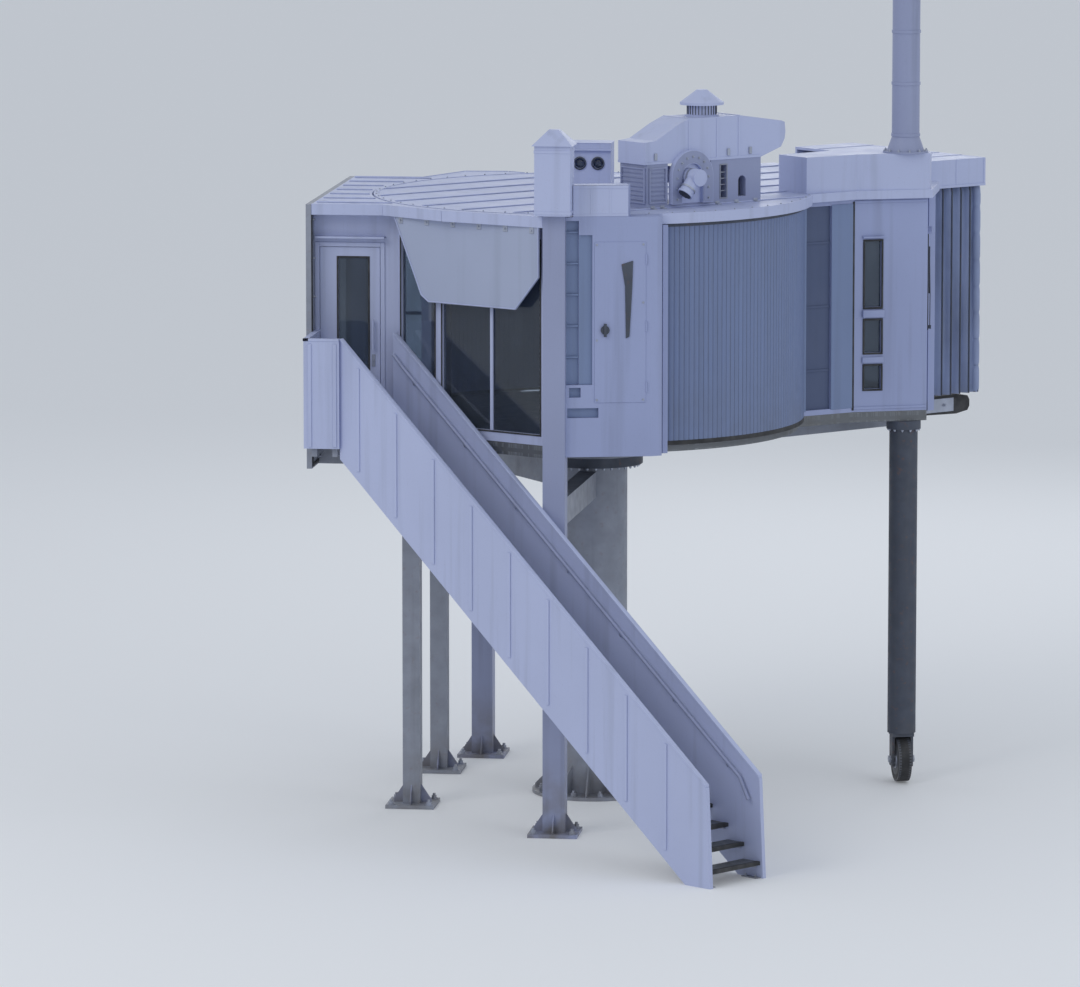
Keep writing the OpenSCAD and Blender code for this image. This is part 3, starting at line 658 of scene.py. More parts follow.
def slab(bm: bmesh.types.BMesh, outline: Sequence[Point], rise: Point, turn: Matrix = ROW,
         round_by: float = 0.0) -> list[bmesh.types.BMVert]:
    """Adds a flat outline pushed along a direction.

    Args:
        bm: The mesh.
        outline: Its corners, in order.
        rise: How far and which way it is pushed.
        turn: Moves it into place.
        round_by: Width of the bevel on its edges.

    Returns:
        Its vertices.
    """
    face = bm.faces.new([bm.verts.new(Vector(p)) for p in outline])
    made = bmesh.ops.extrude_face_region(bm, geom=[face])["geom"]
    top = [g for g in made if isinstance(g, bmesh.types.BMVert)]
    bmesh.ops.translate(bm, vec=Vector(rise), verts=top)
    every = list(dict.fromkeys([*face.verts, *top]))
    if round_by:
        every = soften(bm, every, round_by, 2)
    bmesh.ops.transform(bm, matrix=turn, verts=every)
    return every


def hoop(bm: bmesh.types.BMesh, profile: Sequence[tuple[float, float]], start: float, sweep: float,
         steps: int, turn: Matrix = ROW) -> None:
    """Spins a closed profile around the Z axis.

    Args:
        bm: The mesh.
        profile: Pairs of radius and height, in order around the section.
        start: First angle in degrees.
        sweep: Degrees swept, 360 for a closed ring.
        steps: Number of steps.
        turn: Moves it into place.
    """
    a = math.radians(start)
    verts = [bm.verts.new((r * math.cos(a), r * math.sin(a), z)) for r, z in profile]
    edges = [bm.edges.new((verts[i - 1], verts[i])) for i in range(len(verts))]
    full = sweep >= 359.99
    before = set(bm.verts) - set(verts)
    spun = bmesh.ops.spin(bm, geom=verts + edges, cent=(0, 0, 0), axis=(0, 0, 1),
                          angle=math.radians(sweep), steps=steps, use_merge=full)
    if not full:
        last = [g for g in spun["geom_last"] if isinstance(g, bmesh.types.BMEdge)]
        bmesh.ops.edgeloop_fill(bm, edges=edges)
        bmesh.ops.edgeloop_fill(bm, edges=last)
    bmesh.ops.transform(bm, matrix=turn, verts=[v for v in bm.verts if v not in before])


def rim(bm: bmesh.types.BMesh, low: tuple[float, float], high: tuple[float, float], width: float,
        depth: tuple[float, float], turn: Matrix, round_by: float = 0.0) -> None:
    """Adds a rectangular picture-frame strip around an opening, in the XZ plane of turn.

    Args:
        bm: The mesh.
        low: Lower left corner of the opening, along X and Z.
        high: Upper right corner of the opening.
        width: Width of the strip outside the opening.
        depth: Where it starts and ends along Y.
        turn: Moves it into place.
        round_by: Width of the bevel.
    """
    (x0, z0), (x1, z1) = low, high
    for left, foot, right, top in ((x0 - width, z0 - width, x1 + width, z0),
                                   (x0 - width, z1, x1 + width, z1 + width),
                                   (x0 - width, z0, x0, z1), (x1, z0, x1 + width, z1)):
        block(bm, (left, depth[0], foot), (right, depth[1], top), round_by, 1, turn)


def plate(bm: bmesh.types.BMesh, low: tuple[float, float], high: tuple[float, float], proud: float,
          round_by: float = 0.002, turn: Matrix = ROW, steps: int = 1) -> None:
    """Adds a plate on the outer face of a wall, in the XZ plane of turn.

    Args:
        bm: The mesh.
        low: Its lower left corner, along X and Z.
        high: Its upper right corner.
        proud: How far it stands out of the wall.
        round_by: Width of the bevel on its edges.
        turn: Moves it into place.
        steps: Faces across the bevel.
    """
    block(bm, (low[0], -proud, low[1]), (high[0], -SKIN, high[1]), round_by, steps, turn)


def flanks(depth: float, proud: float) -> tuple[tuple[float, float], tuple[float, float]]:
    """Where plates on the two sides of a box start and end along Y.

    Args:
        depth: The box's depth.
        proud: How far the plates stand out.

    Returns:
        The two pairs of Y, near side first.
    """
    return (-proud, -SKIN), (depth + SKIN, depth + proud)


def on_circle(radius: float, degrees: float) -> tuple[float, float]:
    """A point on a circle around the origin.

    Args:
        radius: The circle's radius.
        degrees: The point's angle.

    Returns:
        Its two coordinates.
    """
    return radius * math.cos(math.radians(degrees)), radius * math.sin(math.radians(degrees))


def around(count: int, radius: float, first: float = 0.0) -> list[tuple[float, float]]:
    """Places at an even pitch around a circle.

    Args:
        count: Number of places.
        radius: The circle's radius.
        first: Angle of the first place in degrees.

    Returns:
        The X and Y of each place.
    """
    return [on_circle(radius, first + 360 / count * i) for i in range(count)]


def spokes(count: int) -> list[Matrix]:
    """Turns about Z at an even pitch.

    Args:
        count: Number of turns.

    Returns:
        The turns, from 0 degrees on.
    """
    return [Matrix.Rotation(math.radians(360 / count * i), 4, "Z") for i in range(count)]


def band(bm: bmesh.types.BMesh, radii: tuple[float, float], levels: tuple[float, float], steps: int = 48,
         turn: Matrix = ROW, start: float = 0.0, sweep: float = 360.0) -> None:
    """Spins a rectangle around the Z axis.

    Args:
        bm: The mesh.
        radii: Its inner and outer radius.
        levels: Where it starts and ends along Z.
        steps: Number of steps.
        turn: Moves it into place.
        start: First angle in degrees.
        sweep: Degrees swept, 360 for a closed ring.
    """
    (r0, r1), (z0, z1) = radii, levels
    hoop(bm, [(r0, z0), (r1, z0), (r1, z1), (r0, z1)], start, sweep, steps, turn)


def evenly(line: Sequence[Vector], pitch: float) -> list[Vector]:
    """Points at an even pitch along a line.

    Args:
        line: The line's points.
        pitch: The distance wanted between points.

    Returns:
        The new points, from the line's start to its end.
    """
    spans = [(b - a).length for a, b in zip(line, line[1:])]
    count = max(2, round(sum(spans) / pitch))
    points, i, passed = [line[0].copy()], 0, 0.0
    for k in range(1, count):
        at = sum(spans) * k / count
        while passed + spans[i] < at:
            passed += spans[i]
            i += 1
        points.append(line[i].lerp(line[i + 1], (at - passed) / spans[i]))
    return points + [line[-1].copy()]


def inflate(piece: bpy.types.Object, held: Sequence[int], pressure: float, limit: float,
            frames: int = 20) -> None:
    """Fills a closed piece of cloth by simulated pressure and keeps the result as its mesh.

    Args:
        piece: The piece, a closed shell.
        held: Vertices that stay where they are.
        pressure: The pressure inside it.
        limit: The furthest that a vertex may move, in metres.
        frames: Steps of the simulation.
    """
    scene = bpy.context.scene
    group = piece.vertex_groups.new(name="held")
    group.add(list(held), 1.0, "REPLACE")
    fill = piece.modifiers.new("fill", "CLOTH")
    fill.settings.use_pressure = True
    fill.settings.uniform_pressure_force = pressure
    fill.settings.effector_weights.gravity = 0.0
    fill.settings.vertex_group_mass = group.name
    fill.settings.quality = 6
    fill.collision_settings.use_collision = False
    fill.collision_settings.use_self_collision = False
    fill.point_cache.frame_start, fill.point_cache.frame_end = 1, frames
    for step in range(1, frames + 1):
        scene.frame_set(step)
    filled = piece.evaluated_get(bpy.context.evaluated_depsgraph_get())
    places = [v.co.copy() for v in filled.to_mesh().vertices]
    filled.to_mesh_clear()
    piece.modifiers.remove(fill)
    piece.vertex_groups.remove(group)
    scene.frame_set(1)
    for vert, place in zip(piece.data.vertices, places):
        shift = place - vert.co
        vert.co += shift * min(1.0, limit / max(shift.length, 1e-9))


def along_wall(start: Point, end: Point, level: float = 0.0) -> Matrix:
    """Axes of a wall: X along it from start to end, Y into it on the left, Z up from a level.

    Args:
        start: Where the wall starts, in plan.
        end: Where it ends, in plan.
        level: Height of the axes' origin over the apron.

    Returns:
        The matrix that places wall coordinates.
    """
    angle = math.atan2(end[1] - start[1], end[0] - start[0])
    return Matrix.Translation((start[0], start[1], level)) @ Matrix.Rotation(angle, 4, "Z")


def hand_over(name: str, bm: bmesh.types.BMesh, finish: Finish, body: str = "root",
              turn: Matrix = ROW, sharp: float = 32.0, merge: bool = True) -> bpy.types.Object:
    """Turns a mesh into a finished piece that rides on a body.

    Args:
        name: The piece's name.
        bm: Its mesh, which is freed.
        finish: Its finish.
        body: The CAD body it moves with.
        turn: Moves it into the part's frame.
        sharp: Edges bent more than this, in degrees, stay sharp.
        merge: Whether doubled vertices are merged first.

    Returns:
        The piece.
    """
    if merge:
        bmesh.ops.remove_doubles(bm, verts=list(bm.verts), dist=1e-5)
    bmesh.ops.transform(bm, matrix=turn, verts=list(bm.verts))
    bmesh.ops.recalc_face_normals(bm, faces=list(bm.faces))
    for face in bm.faces:
        face.smooth = True
    limit = math.radians(sharp)
    for edge in bm.edges:
        edge.smooth = len(edge.link_faces) == 2 and edge.calc_face_angle(0.0) < limit
    mesh = bpy.data.meshes.new(name)
    bm.to_mesh(mesh)
    bm.free()
    mesh.materials.append(material_of(finish))
    piece = bpy.data.objects.new(name, mesh)
    bpy.context.scene.collection.objects.link(piece)
    if body:
        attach(piece, body)
    log.info("%s: %d faces on %s", name, len(mesh.polygons), body or "a blend")
    return piece


# ---------------------------------------------------------------- curtains


@dataclass
class SlatCurtain:
    """A curtain of upright slats on the circle around the turning axis.

    It runs along the circle from the stored end to the cab's edge.
    """

    name: str
    stored: float
    cab_edge: float
    bottom: float
    top: float = 6.86
    middle: float = 5.6
    pitch: float = 0.062
    gap: float = 0.0035
    thick: float = 0.014
    foot: float = 0.05
    seed: int = 4

    def slat(self, bm: bmesh.types.BMesh, width: float) -> list[bmesh.types.BMVert]:
        """One slat on the +X side, its outer face slightly crowned.

        Args:
            bm: The mesh.
            width: Width along the circle.

        Returns:
            Its vertices.
        """
        half, low = width / 2, self.bottom + self.foot
        inner, outer = CURTAIN_RADIUS - self.thick / 2, CURTAIN_RADIUS + self.thick / 2
        edge, shoulder = outer - 0.0055, outer - 0.002
        outline = [(inner, -half), (edge, -half), (shoulder, -half * 0.72), (outer, 0),
                   (shoulder, half * 0.72), (edge, half), (inner, half)]
        return slab(bm, [(x, y, low) for x, y in outline], (0, 0, self.top - low))

    def blend(self, piece: bpy.types.Object) -> None:
        """Bakes a piece's placement into its mesh.

        Args:
            piece: The piece.
        """
        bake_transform(piece)

    def build(self) -> None:
        """Makes the slats, the web behind them and the strips at their head and foot."""
        arc = self.cab_edge - self.stored
        count = round(abs(math.radians(arc)) * CURTAIN_RADIUS / self.pitch)
        step = math.radians(arc) / count
        width = abs(2 * CURTAIN_RADIUS * math.tan(step / 2)) - self.gap
        bm = bmesh.new()
        tone_layer = bm.verts.layers.float.new("slat_tone")
        uv_layer = bm.loops.layers.uv.new("UVMap")
        dice = random.Random(self.seed)
        for i in range(count):
            verts = self.slat(bm, width)
            angle = math.radians(self.stored) + (i + 0.5) * step
            tone = min(1.0, max(0.0, dice.gauss(0.5, 0.22)))
            for vert in verts:
                vert[tone_layer] = tone
            for face in dict.fromkeys(f for v in verts for f in v.link_faces):
                for loop in face.loops:
                    loop[uv_layer].uv = (angle * CURTAIN_RADIUS + loop.vert.co.y, loop.vert.co.z)
            bmesh.ops.rotate(bm, cent=(0, 0, 0), matrix=Matrix.Rotation(angle, 3, "Z"), verts=verts)
        slats = hand_over(f"{self.name}_slats", bm, Finish.SLATS, body="", sharp=25.0, merge=False)
        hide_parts(self.name)
        pieces = [slats]
        r, half = CURTAIN_RADIUS, self.thick / 2
        # The black foot strip and the dark head strip are real rails that also paint the shadow lines below
        # the curtain and under the roof.
        for part, radii, levels, finish in (
                ("web", (r - 0.003, r + 0.001), (self.bottom + 0.02, self.top - 0.02), Finish.RUBBER),
                ("foot", (r - half, r + half), (self.bottom, self.bottom + self.foot), Finish.RUBBER),
                ("head", (r - half - 0.004, r + half + 0.004), (self.top - 0.035, self.top), Finish.DARK)):
            bm = bmesh.new()
            band(bm, radii, levels, count, start=self.stored, sweep=arc)
            pieces.append(hand_over(f"{self.name}_{part}", bm, finish, body=""))
        for piece in pieces:
            self.blend(piece)


# ---------------------------------------------------------------- turning cab


@dataclass
class CabRoof:
    """Standing seams, the flashing around the rim and the fixings of the cab roof."""

    seam_pitch: float = 0.62
    seam_width: float = 0.022
    seam_rise: float = 0.014
    edge_from: float = 41.5
    bolts: int = 44

    def seams(self) -> None:
        """Standing seams along the cab, each cut to the roof's outline."""
        bm = bmesh.new()
        for i in range(-3, 4):
            y = self.seam_pitch * i
            reach = math.sqrt((ROOF_RADIUS - 0.06) ** 2 - y * y)
            block(bm, (-reach, y - self.seam_width / 2, ROOF_TOP + SKIN),
                  (4.0 if abs(y) < 1.5 else reach, y + self.seam_width / 2, ROOF_TOP + self.seam_rise), 0.004)
        hand_over("roof_seams", bm, Finish.WHITE, "cab", CAB)

    def flashing(self) -> None:
        """The folded edge strip around the round part of the roof, and its bolts."""
        bm = bmesh.new()
        r, under, over = ROOF_RADIUS, ROOF_UNDER - 0.012, ROOF_TOP + 0.006
        section = [(r - 0.05, ROOF_TOP + SKIN), (r + SKIN, ROOF_TOP + SKIN), (r + SKIN, under),
                   (r + 0.004, under), (r + 0.004, over), (r - 0.05, over)]
        round_part = 360 - 2 * self.edge_from
        hoop(bm, section, self.edge_from, round_part, 96)
        hand_over("roof_flashing", bm, Finish.WHITE, "cab", CAB)
        bm = bmesh.new()
        for i in range(self.bolts):
            x, y = on_circle(r - 0.028, self.edge_from + (i + 0.5) * round_part / self.bolts)
            nut(bm, (x, y, over), (0, 0, 1), 0.017, shank=0.1)
        hand_over("roof_flashing_bolts", bm, Finish.ZINC, "cab", CAB)

    def build(self) -> None:
        """Makes the roof's dressing."""
        self.seams()
        self.flashing()


@dataclass
class OperatorBay:
    """Window frames, the slate side panel and trims on the operator's side of the cab."""

    points: tuple[tuple[float, float], ...] = ((1.8715, -1.55), (2.57, -1.614), (3.38, -1.979),
                                               (3.95, -1.324))
    slots: tuple[tuple[float, float], ...] = ((1.22, 1.985), (0.69, 1.065), (0.265, 0.535))
    slot_start: float = 0.13
    slot_width: float = 0.20

    def run(self, i: int) -> tuple[Matrix, float]:
        """Axes and length of one run of the wall.

        Args:
            i: Which run, from the curtain.

        Returns:
            Its matrix in cab axes, with Z up from the floor, and its length.
        """
        a, b = self.points[i], self.points[i + 1]
        return along_wall(a, b, FLOOR), math.dist(a, b)

    def build(self) -> None:
        """Makes the bay's dressing."""
        rear, rear_length = self.run(0)
        side, _ = self.run(1)
        nose, nose_length = self.run(2)
        # Dark lining and ribs at the back of the recess by the curtain: painted shade for the recess.
        bm = bmesh.new()
        block(bm, (0.031, 0.034, 0.061), (0.379, 0.0396, 2.419), turn=rear)
        for z in (0.5, 1.24, 1.98):
            block(bm, (0.034, 0.024, z), (0.376, 0.034, z + 0.03), 0.003, turn=rear)
        hand_over("recess_shade_liner", bm, Finish.SEAL, "cab", CAB)
        bm = bmesh.new()
        plate(bm, (0.3805, 0.05), (rear_length - 0.012, 2.43), 0.008, 0.003, rear)
        plate(bm, (0.0, 0.05), (0.0295, 2.43), 0.006, 0.002, rear)
        hand_over("slate_side_panel", bm, Finish.SLATE, "cab", CAB)
        bm = bmesh.new()
        plate(bm, (rear_length - 0.022, 0.02), (rear_length + 0.004, 2.45), 0.010, 0.003, rear)
        for low, high in self.slots:
            rim(bm, (self.slot_start, low), (self.slot_start + self.slot_width, high), 0.022,
                (-0.012, -SKIN), side, 0.004)
        rim(bm, (0.13, 0.95), (nose_length - 0.13, 2.0), 0.03, (-0.012, -SKIN), nose, 0.004)
        hand_over("bay_window_gaskets", bm, Finish.RUBBER, "cab", CAB)
        bm = bmesh.new()
        x0, x1 = self.slot_start - 0.03, self.slot_start + self.slot_width + 0.03
        plate(bm, (x0, 1.10), (x1, 1.19), 0.05, 0.012, side, 2)
        plate(bm, (x0, 0.57), (x1, 0.64), 0.03, 0.01, side, 2)
        plate(bm, (x0, 2.025), (x1, 2.045), 0.045, 0.004, side)
        plate(bm, (0.1, 2.045), (nose_length - 0.1, 2.065), 0.05, 0.004, nose)
        for z in (0.03, 2.43):
            plate(bm, (0.004, z), (0.884, z + 0.03), 0.012, 0.003, side)
        hand_over("bay_sills_and_drips", bm, Finish.WALL, "cab", CAB)
        bm = bmesh.new()
        x, z = nose_length / 2, 0.92
        rod(bm, (x, 0.0, z), (x, -0.045, z), 0.022, 12, turn=nose)
        pipe(bm, [(x, -0.03, z), (x + 0.12, -0.032, 1.3), (x + 0.16, -0.026, 1.62)], 0.006, 6, nose)
        block(bm, (x + 0.125, -0.03, 1.3), (x + 0.14, -0.014, 1.85), 0.003, turn=nose)
        hand_over("bay_wiper", bm, Finish.DARK, "cab", CAB)


@dataclass
class FrontCanopy:
    """The gathered bellows in front of the cab, its hood, front pad and bumper."""

    back: float = 4.0504
    front: float = 4.90
    half: float = 1.15
    crown: float = 2.665
    folds: int = 6
    fold_depth: float = 0.075
    corner: float = 0.26
    sheet: float = 0.008
    sag: float = 0.014
    roll: float = 0.048
    roll_sides: int = 20
    roll_pitch: float = 0.035
    strap_pitch: float = 0.32

    def path(self, inset: float) -> list[Vector]:
        """The arch that one ring of cloth follows, from the near foot over to the far foot.

        Args:
            inset: How far the ring is drawn in from the outer arch.

        Returns:
            Points in the cab's YZ plane.
        """
        half, top, r = self.half - inset, FLOOR + self.crown - inset, self.corner
        foot = FLOOR + 0.01
        side = [Vector((0, -half, foot + i / 14 * (top - r - foot))) for i in range(15)]
        bend = [Vector((0, r - half - r * math.cos(a), top - r + r * math.sin(a)))
                for a in [math.radians(15 * i) for i in range(1, 7)]]
        flat = [Vector((0, r - half + i / 6 * (half - r), top)) for i in range(1, 7)]
        left = side + bend + flat
        return left + [Vector((0, -p.y, p.z)) for p in reversed(left[:-1])]

    def bellows(self) -> None:
        """The folded cloth: rings bridged along the depth, sagging a little between the hoops."""
        bm = bmesh.new()
        fold_light_layer = bm.verts.layers.float.new("fold_light")
        uv_layer = bm.loops.layers.uv.new("UVMap")
        steps = self.folds * 8
        rows: list[list[bmesh.types.BMVert]] = []
        for i in range(steps + 1):
            t = i / steps
            inset = self.fold_depth * (0.5 - 0.5 * math.cos(t * self.folds * 2 * math.pi)) ** 0.8
            x = self.back + t * (self.front - self.back)
            row = []
            for k, p in enumerate(self.path(inset)):
                wave = math.sin(0.37 * k + 1.7 * round(t * self.folds))
                droop = self.sag * wave * (inset / self.fold_depth)
                y = p.y + (droop if abs(p.y) > 0.9 else 0)
                z = p.z - abs(droop) * (p.z > FLOOR + 2.3)
                vert = bm.verts.new((x + 0.5 * droop, y, z))
                # Share of painted light on the cloth: 1 on a fold ridge, 0 in a valley, where painted shade
                # stays.
                vert[fold_light_layer] = 1.0 - inset / self.fold_depth
                row.append(vert)
            rows.append(row)
        length = 0.0
        for near, far in zip(rows, rows[1:]):
            reach = 0.0
            for k in range(len(near) - 1):
                face = bm.faces.new((near[k], near[k + 1], far[k + 1], far[k]))
                step = (near[k + 1].co - near[k].co).length
                depth = (far[k].co - near[k].co).length
                for loop, uv in zip(face.loops, ((length, reach), (length, reach + step),
                                                 (length + depth, reach + step), (length + depth, reach))):
                    loop[uv_layer].uv = uv
                reach += step
            length += 0.03
        bmesh.ops.recalc_face_normals(bm, faces=list(bm.faces))
        probe = min(bm.faces, key=lambda f: abs(f.calc_center_median().z - FLOOR - 1.3))
        if probe.normal.y * probe.calc_center_median().y < 0:
            bmesh.ops.reverse_faces(bm, faces=list(bm.faces))
        area = sum(f.calc_area() for f in bm.faces)
        length = sum((far[6].co - near[6].co).length for near, far in zip(rows, rows[1:]))
        bmesh.ops.solidify(bm, geom=list(bm.faces), thickness=self.sheet)
        piece = hand_over("canopy_cloth", bm, Finish.CLOTH, "cab", CAB, sharp=180.0, merge=False)
        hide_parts("canopy_bellows")

    def hoops(self) -> None:
        """Light hoops in the valleys that hold the cloth's shape."""
        bm = bmesh.new()
        for i in range(1, self.folds):
            x = self.back + i * (self.front - self.back) / self.folds
            pipe(bm, [Vector((x, p.y, p.z)) for p in self.path(-0.004)[::2]], 0.009, 6)
        hand_over("canopy_hoops", bm, Finish.DARK, "cab", CAB)

    def pad(self) -> None:
        """The padded edge that meets the aircraft: a filled roll, drawn in by straps."""
        line = [Vector((self.front + 0.002, p.y, p.z)) for p in self.path(0.045)]
        points = evenly(line, self.roll_pitch)
        last = len(points) - 1
        bm = bmesh.new()
        fold_light_layer = bm.verts.layers.float.new("fold_light")
        pipe(bm, points, self.roll, self.roll_sides)
        straps = max(2, round(len(points) * self.roll_pitch / self.strap_pitch))
        held: list[int] = []
        for i, vert in enumerate(bm.verts):
            ring = i // self.roll_sides
            near = abs((ring / last * straps) % 1.0 - 0.5) * 2
            # Painted shade where the straps pinch the roll: less of the ridge light near each strap.
            vert[fold_light_layer] = 0.9 * (1.0 - 0.7 * near ** 8)
            vert.co += (points[ring] - vert.co) * 0.2 * near ** 6
            if near > 0.93 or ring in (0, last):
                held.append(i)
        piece = hand_over("canopy_front_pad", bm, Finish.CLOTH, "cab", CAB, sharp=60.0, merge=False)
        inflate(piece, held, pressure=5.0, limit=0.009)
        bm = bmesh.new()
        for k in range(straps):
            i = min(last - 1, round(k / straps * last))
            a, b = points[i], points[i + 1]
            pipe(bm, [a + (b - a) * 0.1, a + (b - a) * 0.9], 0.0405, self.roll_sides)
        hand_over("canopy_pad_straps", bm, Finish.RUBBER, "cab", CAB)

    def bumper(self) -> None:
        """The rubber bumper under the doorway, with its ribs and side plates."""
        bm = bmesh.new()
        x0, knee, x1, z0, z1 = 4.0505, 4.75, 4.958, FLOOR - 0.258, FLOOR - 0.022
        section = [(x0, z0 + 0.02), (knee, z0), (x1 - 0.03, z0 + 0.03), (x1, z0 + 0.08),
                   (x1, z1 - 0.08), (x1 - 0.03, z1 - 0.03), (knee, z1), (x0, z1 - 0.02)]
        slab(bm, [(x, -0.948, z) for x, z in section], (0, 1.896, 0), round_by=0.008)
        for z in (z0 + 0.09, z1 - 0.09):
            block(bm, (x1 - 0.01, -0.92, z - 0.012), (x1 + 0.006, 0.92, z + 0.012), 0.005, 2)
        piece = hand_over("door_bumper", bm, Finish.RUBBER, "cab", CAB)
        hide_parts("front_bumper")
        bm = bmesh.new()
        for s in (-1, 1):
            block(bm, (4.06, s * 0.95 - 0.004, FLOOR - 0.22), (4.7, s * 0.95 + 0.006, FLOOR - 0.06), 0.002)
            for x in (4.15, 4.35, 4.55):
                nut(bm, (x, s * 0.956, FLOOR - 0.14), (0, s, 0), 0.03)
        hand_over("bumper_side_plates", bm, Finish.ZINC, "cab", CAB)

    def hood_trim(self) -> None:
        """Lips and joint strips of the hood."""
        bm = bmesh.new()
        x0, x1, half = self.back, self.back + 0.89, self.half + 0.06
        z0, z1 = FLOOR + 2.47, FLOOR + 2.80
        for s in (-1, 1):
            y0, y1 = sorted((s * half, s * (half + 0.008)))
            block(bm, (x0 + 0.01, y0, z0), (x1, y1, z0 + 0.03), 0.002)
            y0, y1 = sorted((s * half, s * (half + 0.006)))
            for x in (x0 + 0.02, x0 + 0.43, x1 - 0.03):
                block(bm, (x, y0, z0 + 0.03), (x + 0.03, y1, z1 - 0.01), 0.002)
        block(bm, (x1 + SKIN, -half, z0), (x1 + 0.008, half, z0 + 0.03), 0.002)
        for y in (-0.8, -0.4, 0.0, 0.4, 0.8):
            block(bm, (x0 + 0.02, y - 0.015, z1 + SKIN), (x1 - 0.02, y + 0.015, z1 + 0.006), 0.002)
        hand_over("hood_lips", bm, Finish.WHITE, "cab", CAB)

    def build(self) -> None:
        """Makes the canopy."""
        self.bellows()
        self.hoops()
        self.pad()
        self.bumper()
        self.hood_trim()


@dataclass
class MastAndLeg:
    """The mast's foot and bands, and the support leg's wheel and fixings."""

    at: tuple[float, float] = (3.21, -1.77)
    radius: float = 0.16
    foot: float = 7.4006
    top: float = 9.4
    flange_under: float = 4.1797
    axle: float = 0.275

    def build(self) -> None:
        """Makes the dressing of the mast and the leg."""
        here = CAB @ Matrix.Translation((*self.at, 0.0))
        r, plate_top = self.radius, self.foot + 0.018
        bm = bmesh.new()
        band(bm, (0.226, 0.262), (self.foot + SKIN, plate_top))
        for z in (7.585, 8.18, 8.78, self.top - 0.05):
            hoop(bm, [(r + SKIN, z), (r + 0.008, z + 0.003), (r + 0.008, z + 0.037), (r + SKIN, z + 0.04)],
                 0, 360, 48)
        rod(bm, (0, 0, self.top - 0.022), (0, 0, self.top - 0.001), r + 0.008, 48)
        hand_over("mast_bands", bm, Finish.COLUMN, "cab", here)
        bm = bmesh.new()
        for x, y in around(12, 0.244):
            nut(bm, (x, y, plate_top), (0, 0, 1), 0.026)
        for x, y in around(12, 0.18, 15):
            nut(bm, (x, y, self.flange_under), (0, 0, -1), 0.028, shank=0.3)
        hand_over("mast_and_leg_bolts", bm, Finish.ZINC, "cab", here)
        self.wheel(here)

    def wheel(self, here: Matrix) -> None:
        """The castor's tyre and hub.

        Args:
            here: Axes of the leg in the part's frame.
        """
        turn = here @ Matrix.Rotation(math.atan2(self.at[1], self.at[0]), 4, "Z") \
            @ Matrix.Translation((0, 0, self.axle)) @ Matrix.Rotation(math.pi / 2, 4, "Y")
        bm = bmesh.new()
        half = 0.0755
        section = [(0.185, -half), (0.238, -half - 0.002), (0.256, -half + 0.014), (0.2605, -half + 0.03),
                   (0.2605, half - 0.03), (0.256, half - 0.014), (0.238, half + 0.002), (0.185, half)]
        hoop(bm, section, 0, 360, 64)
        for spoke in spokes(48):
            block(bm, (0.2545, -0.006, -half + 0.006), (0.2625, 0.006, half - 0.006), 0.002, turn=spoke)
        hand_over("castor_tyre", bm, Finish.RUBBER, "cab", turn)
        bm = bmesh.new()
        for s in (-1, 1):
            rod(bm, (0, 0, s * 0.0745), (0, 0, s * 0.084), 0.11, 32, 0.095)
            rod(bm, (0, 0, s * 0.125), (0, 0, s * 0.152), 0.045, 6)
            for x, y in around(6, 0.078):
                nut(bm, (x, y, s * 0.083), (0, 0, s), 0.02)
        hand_over("castor_hub", bm, Finish.ZINC, "cab", turn)


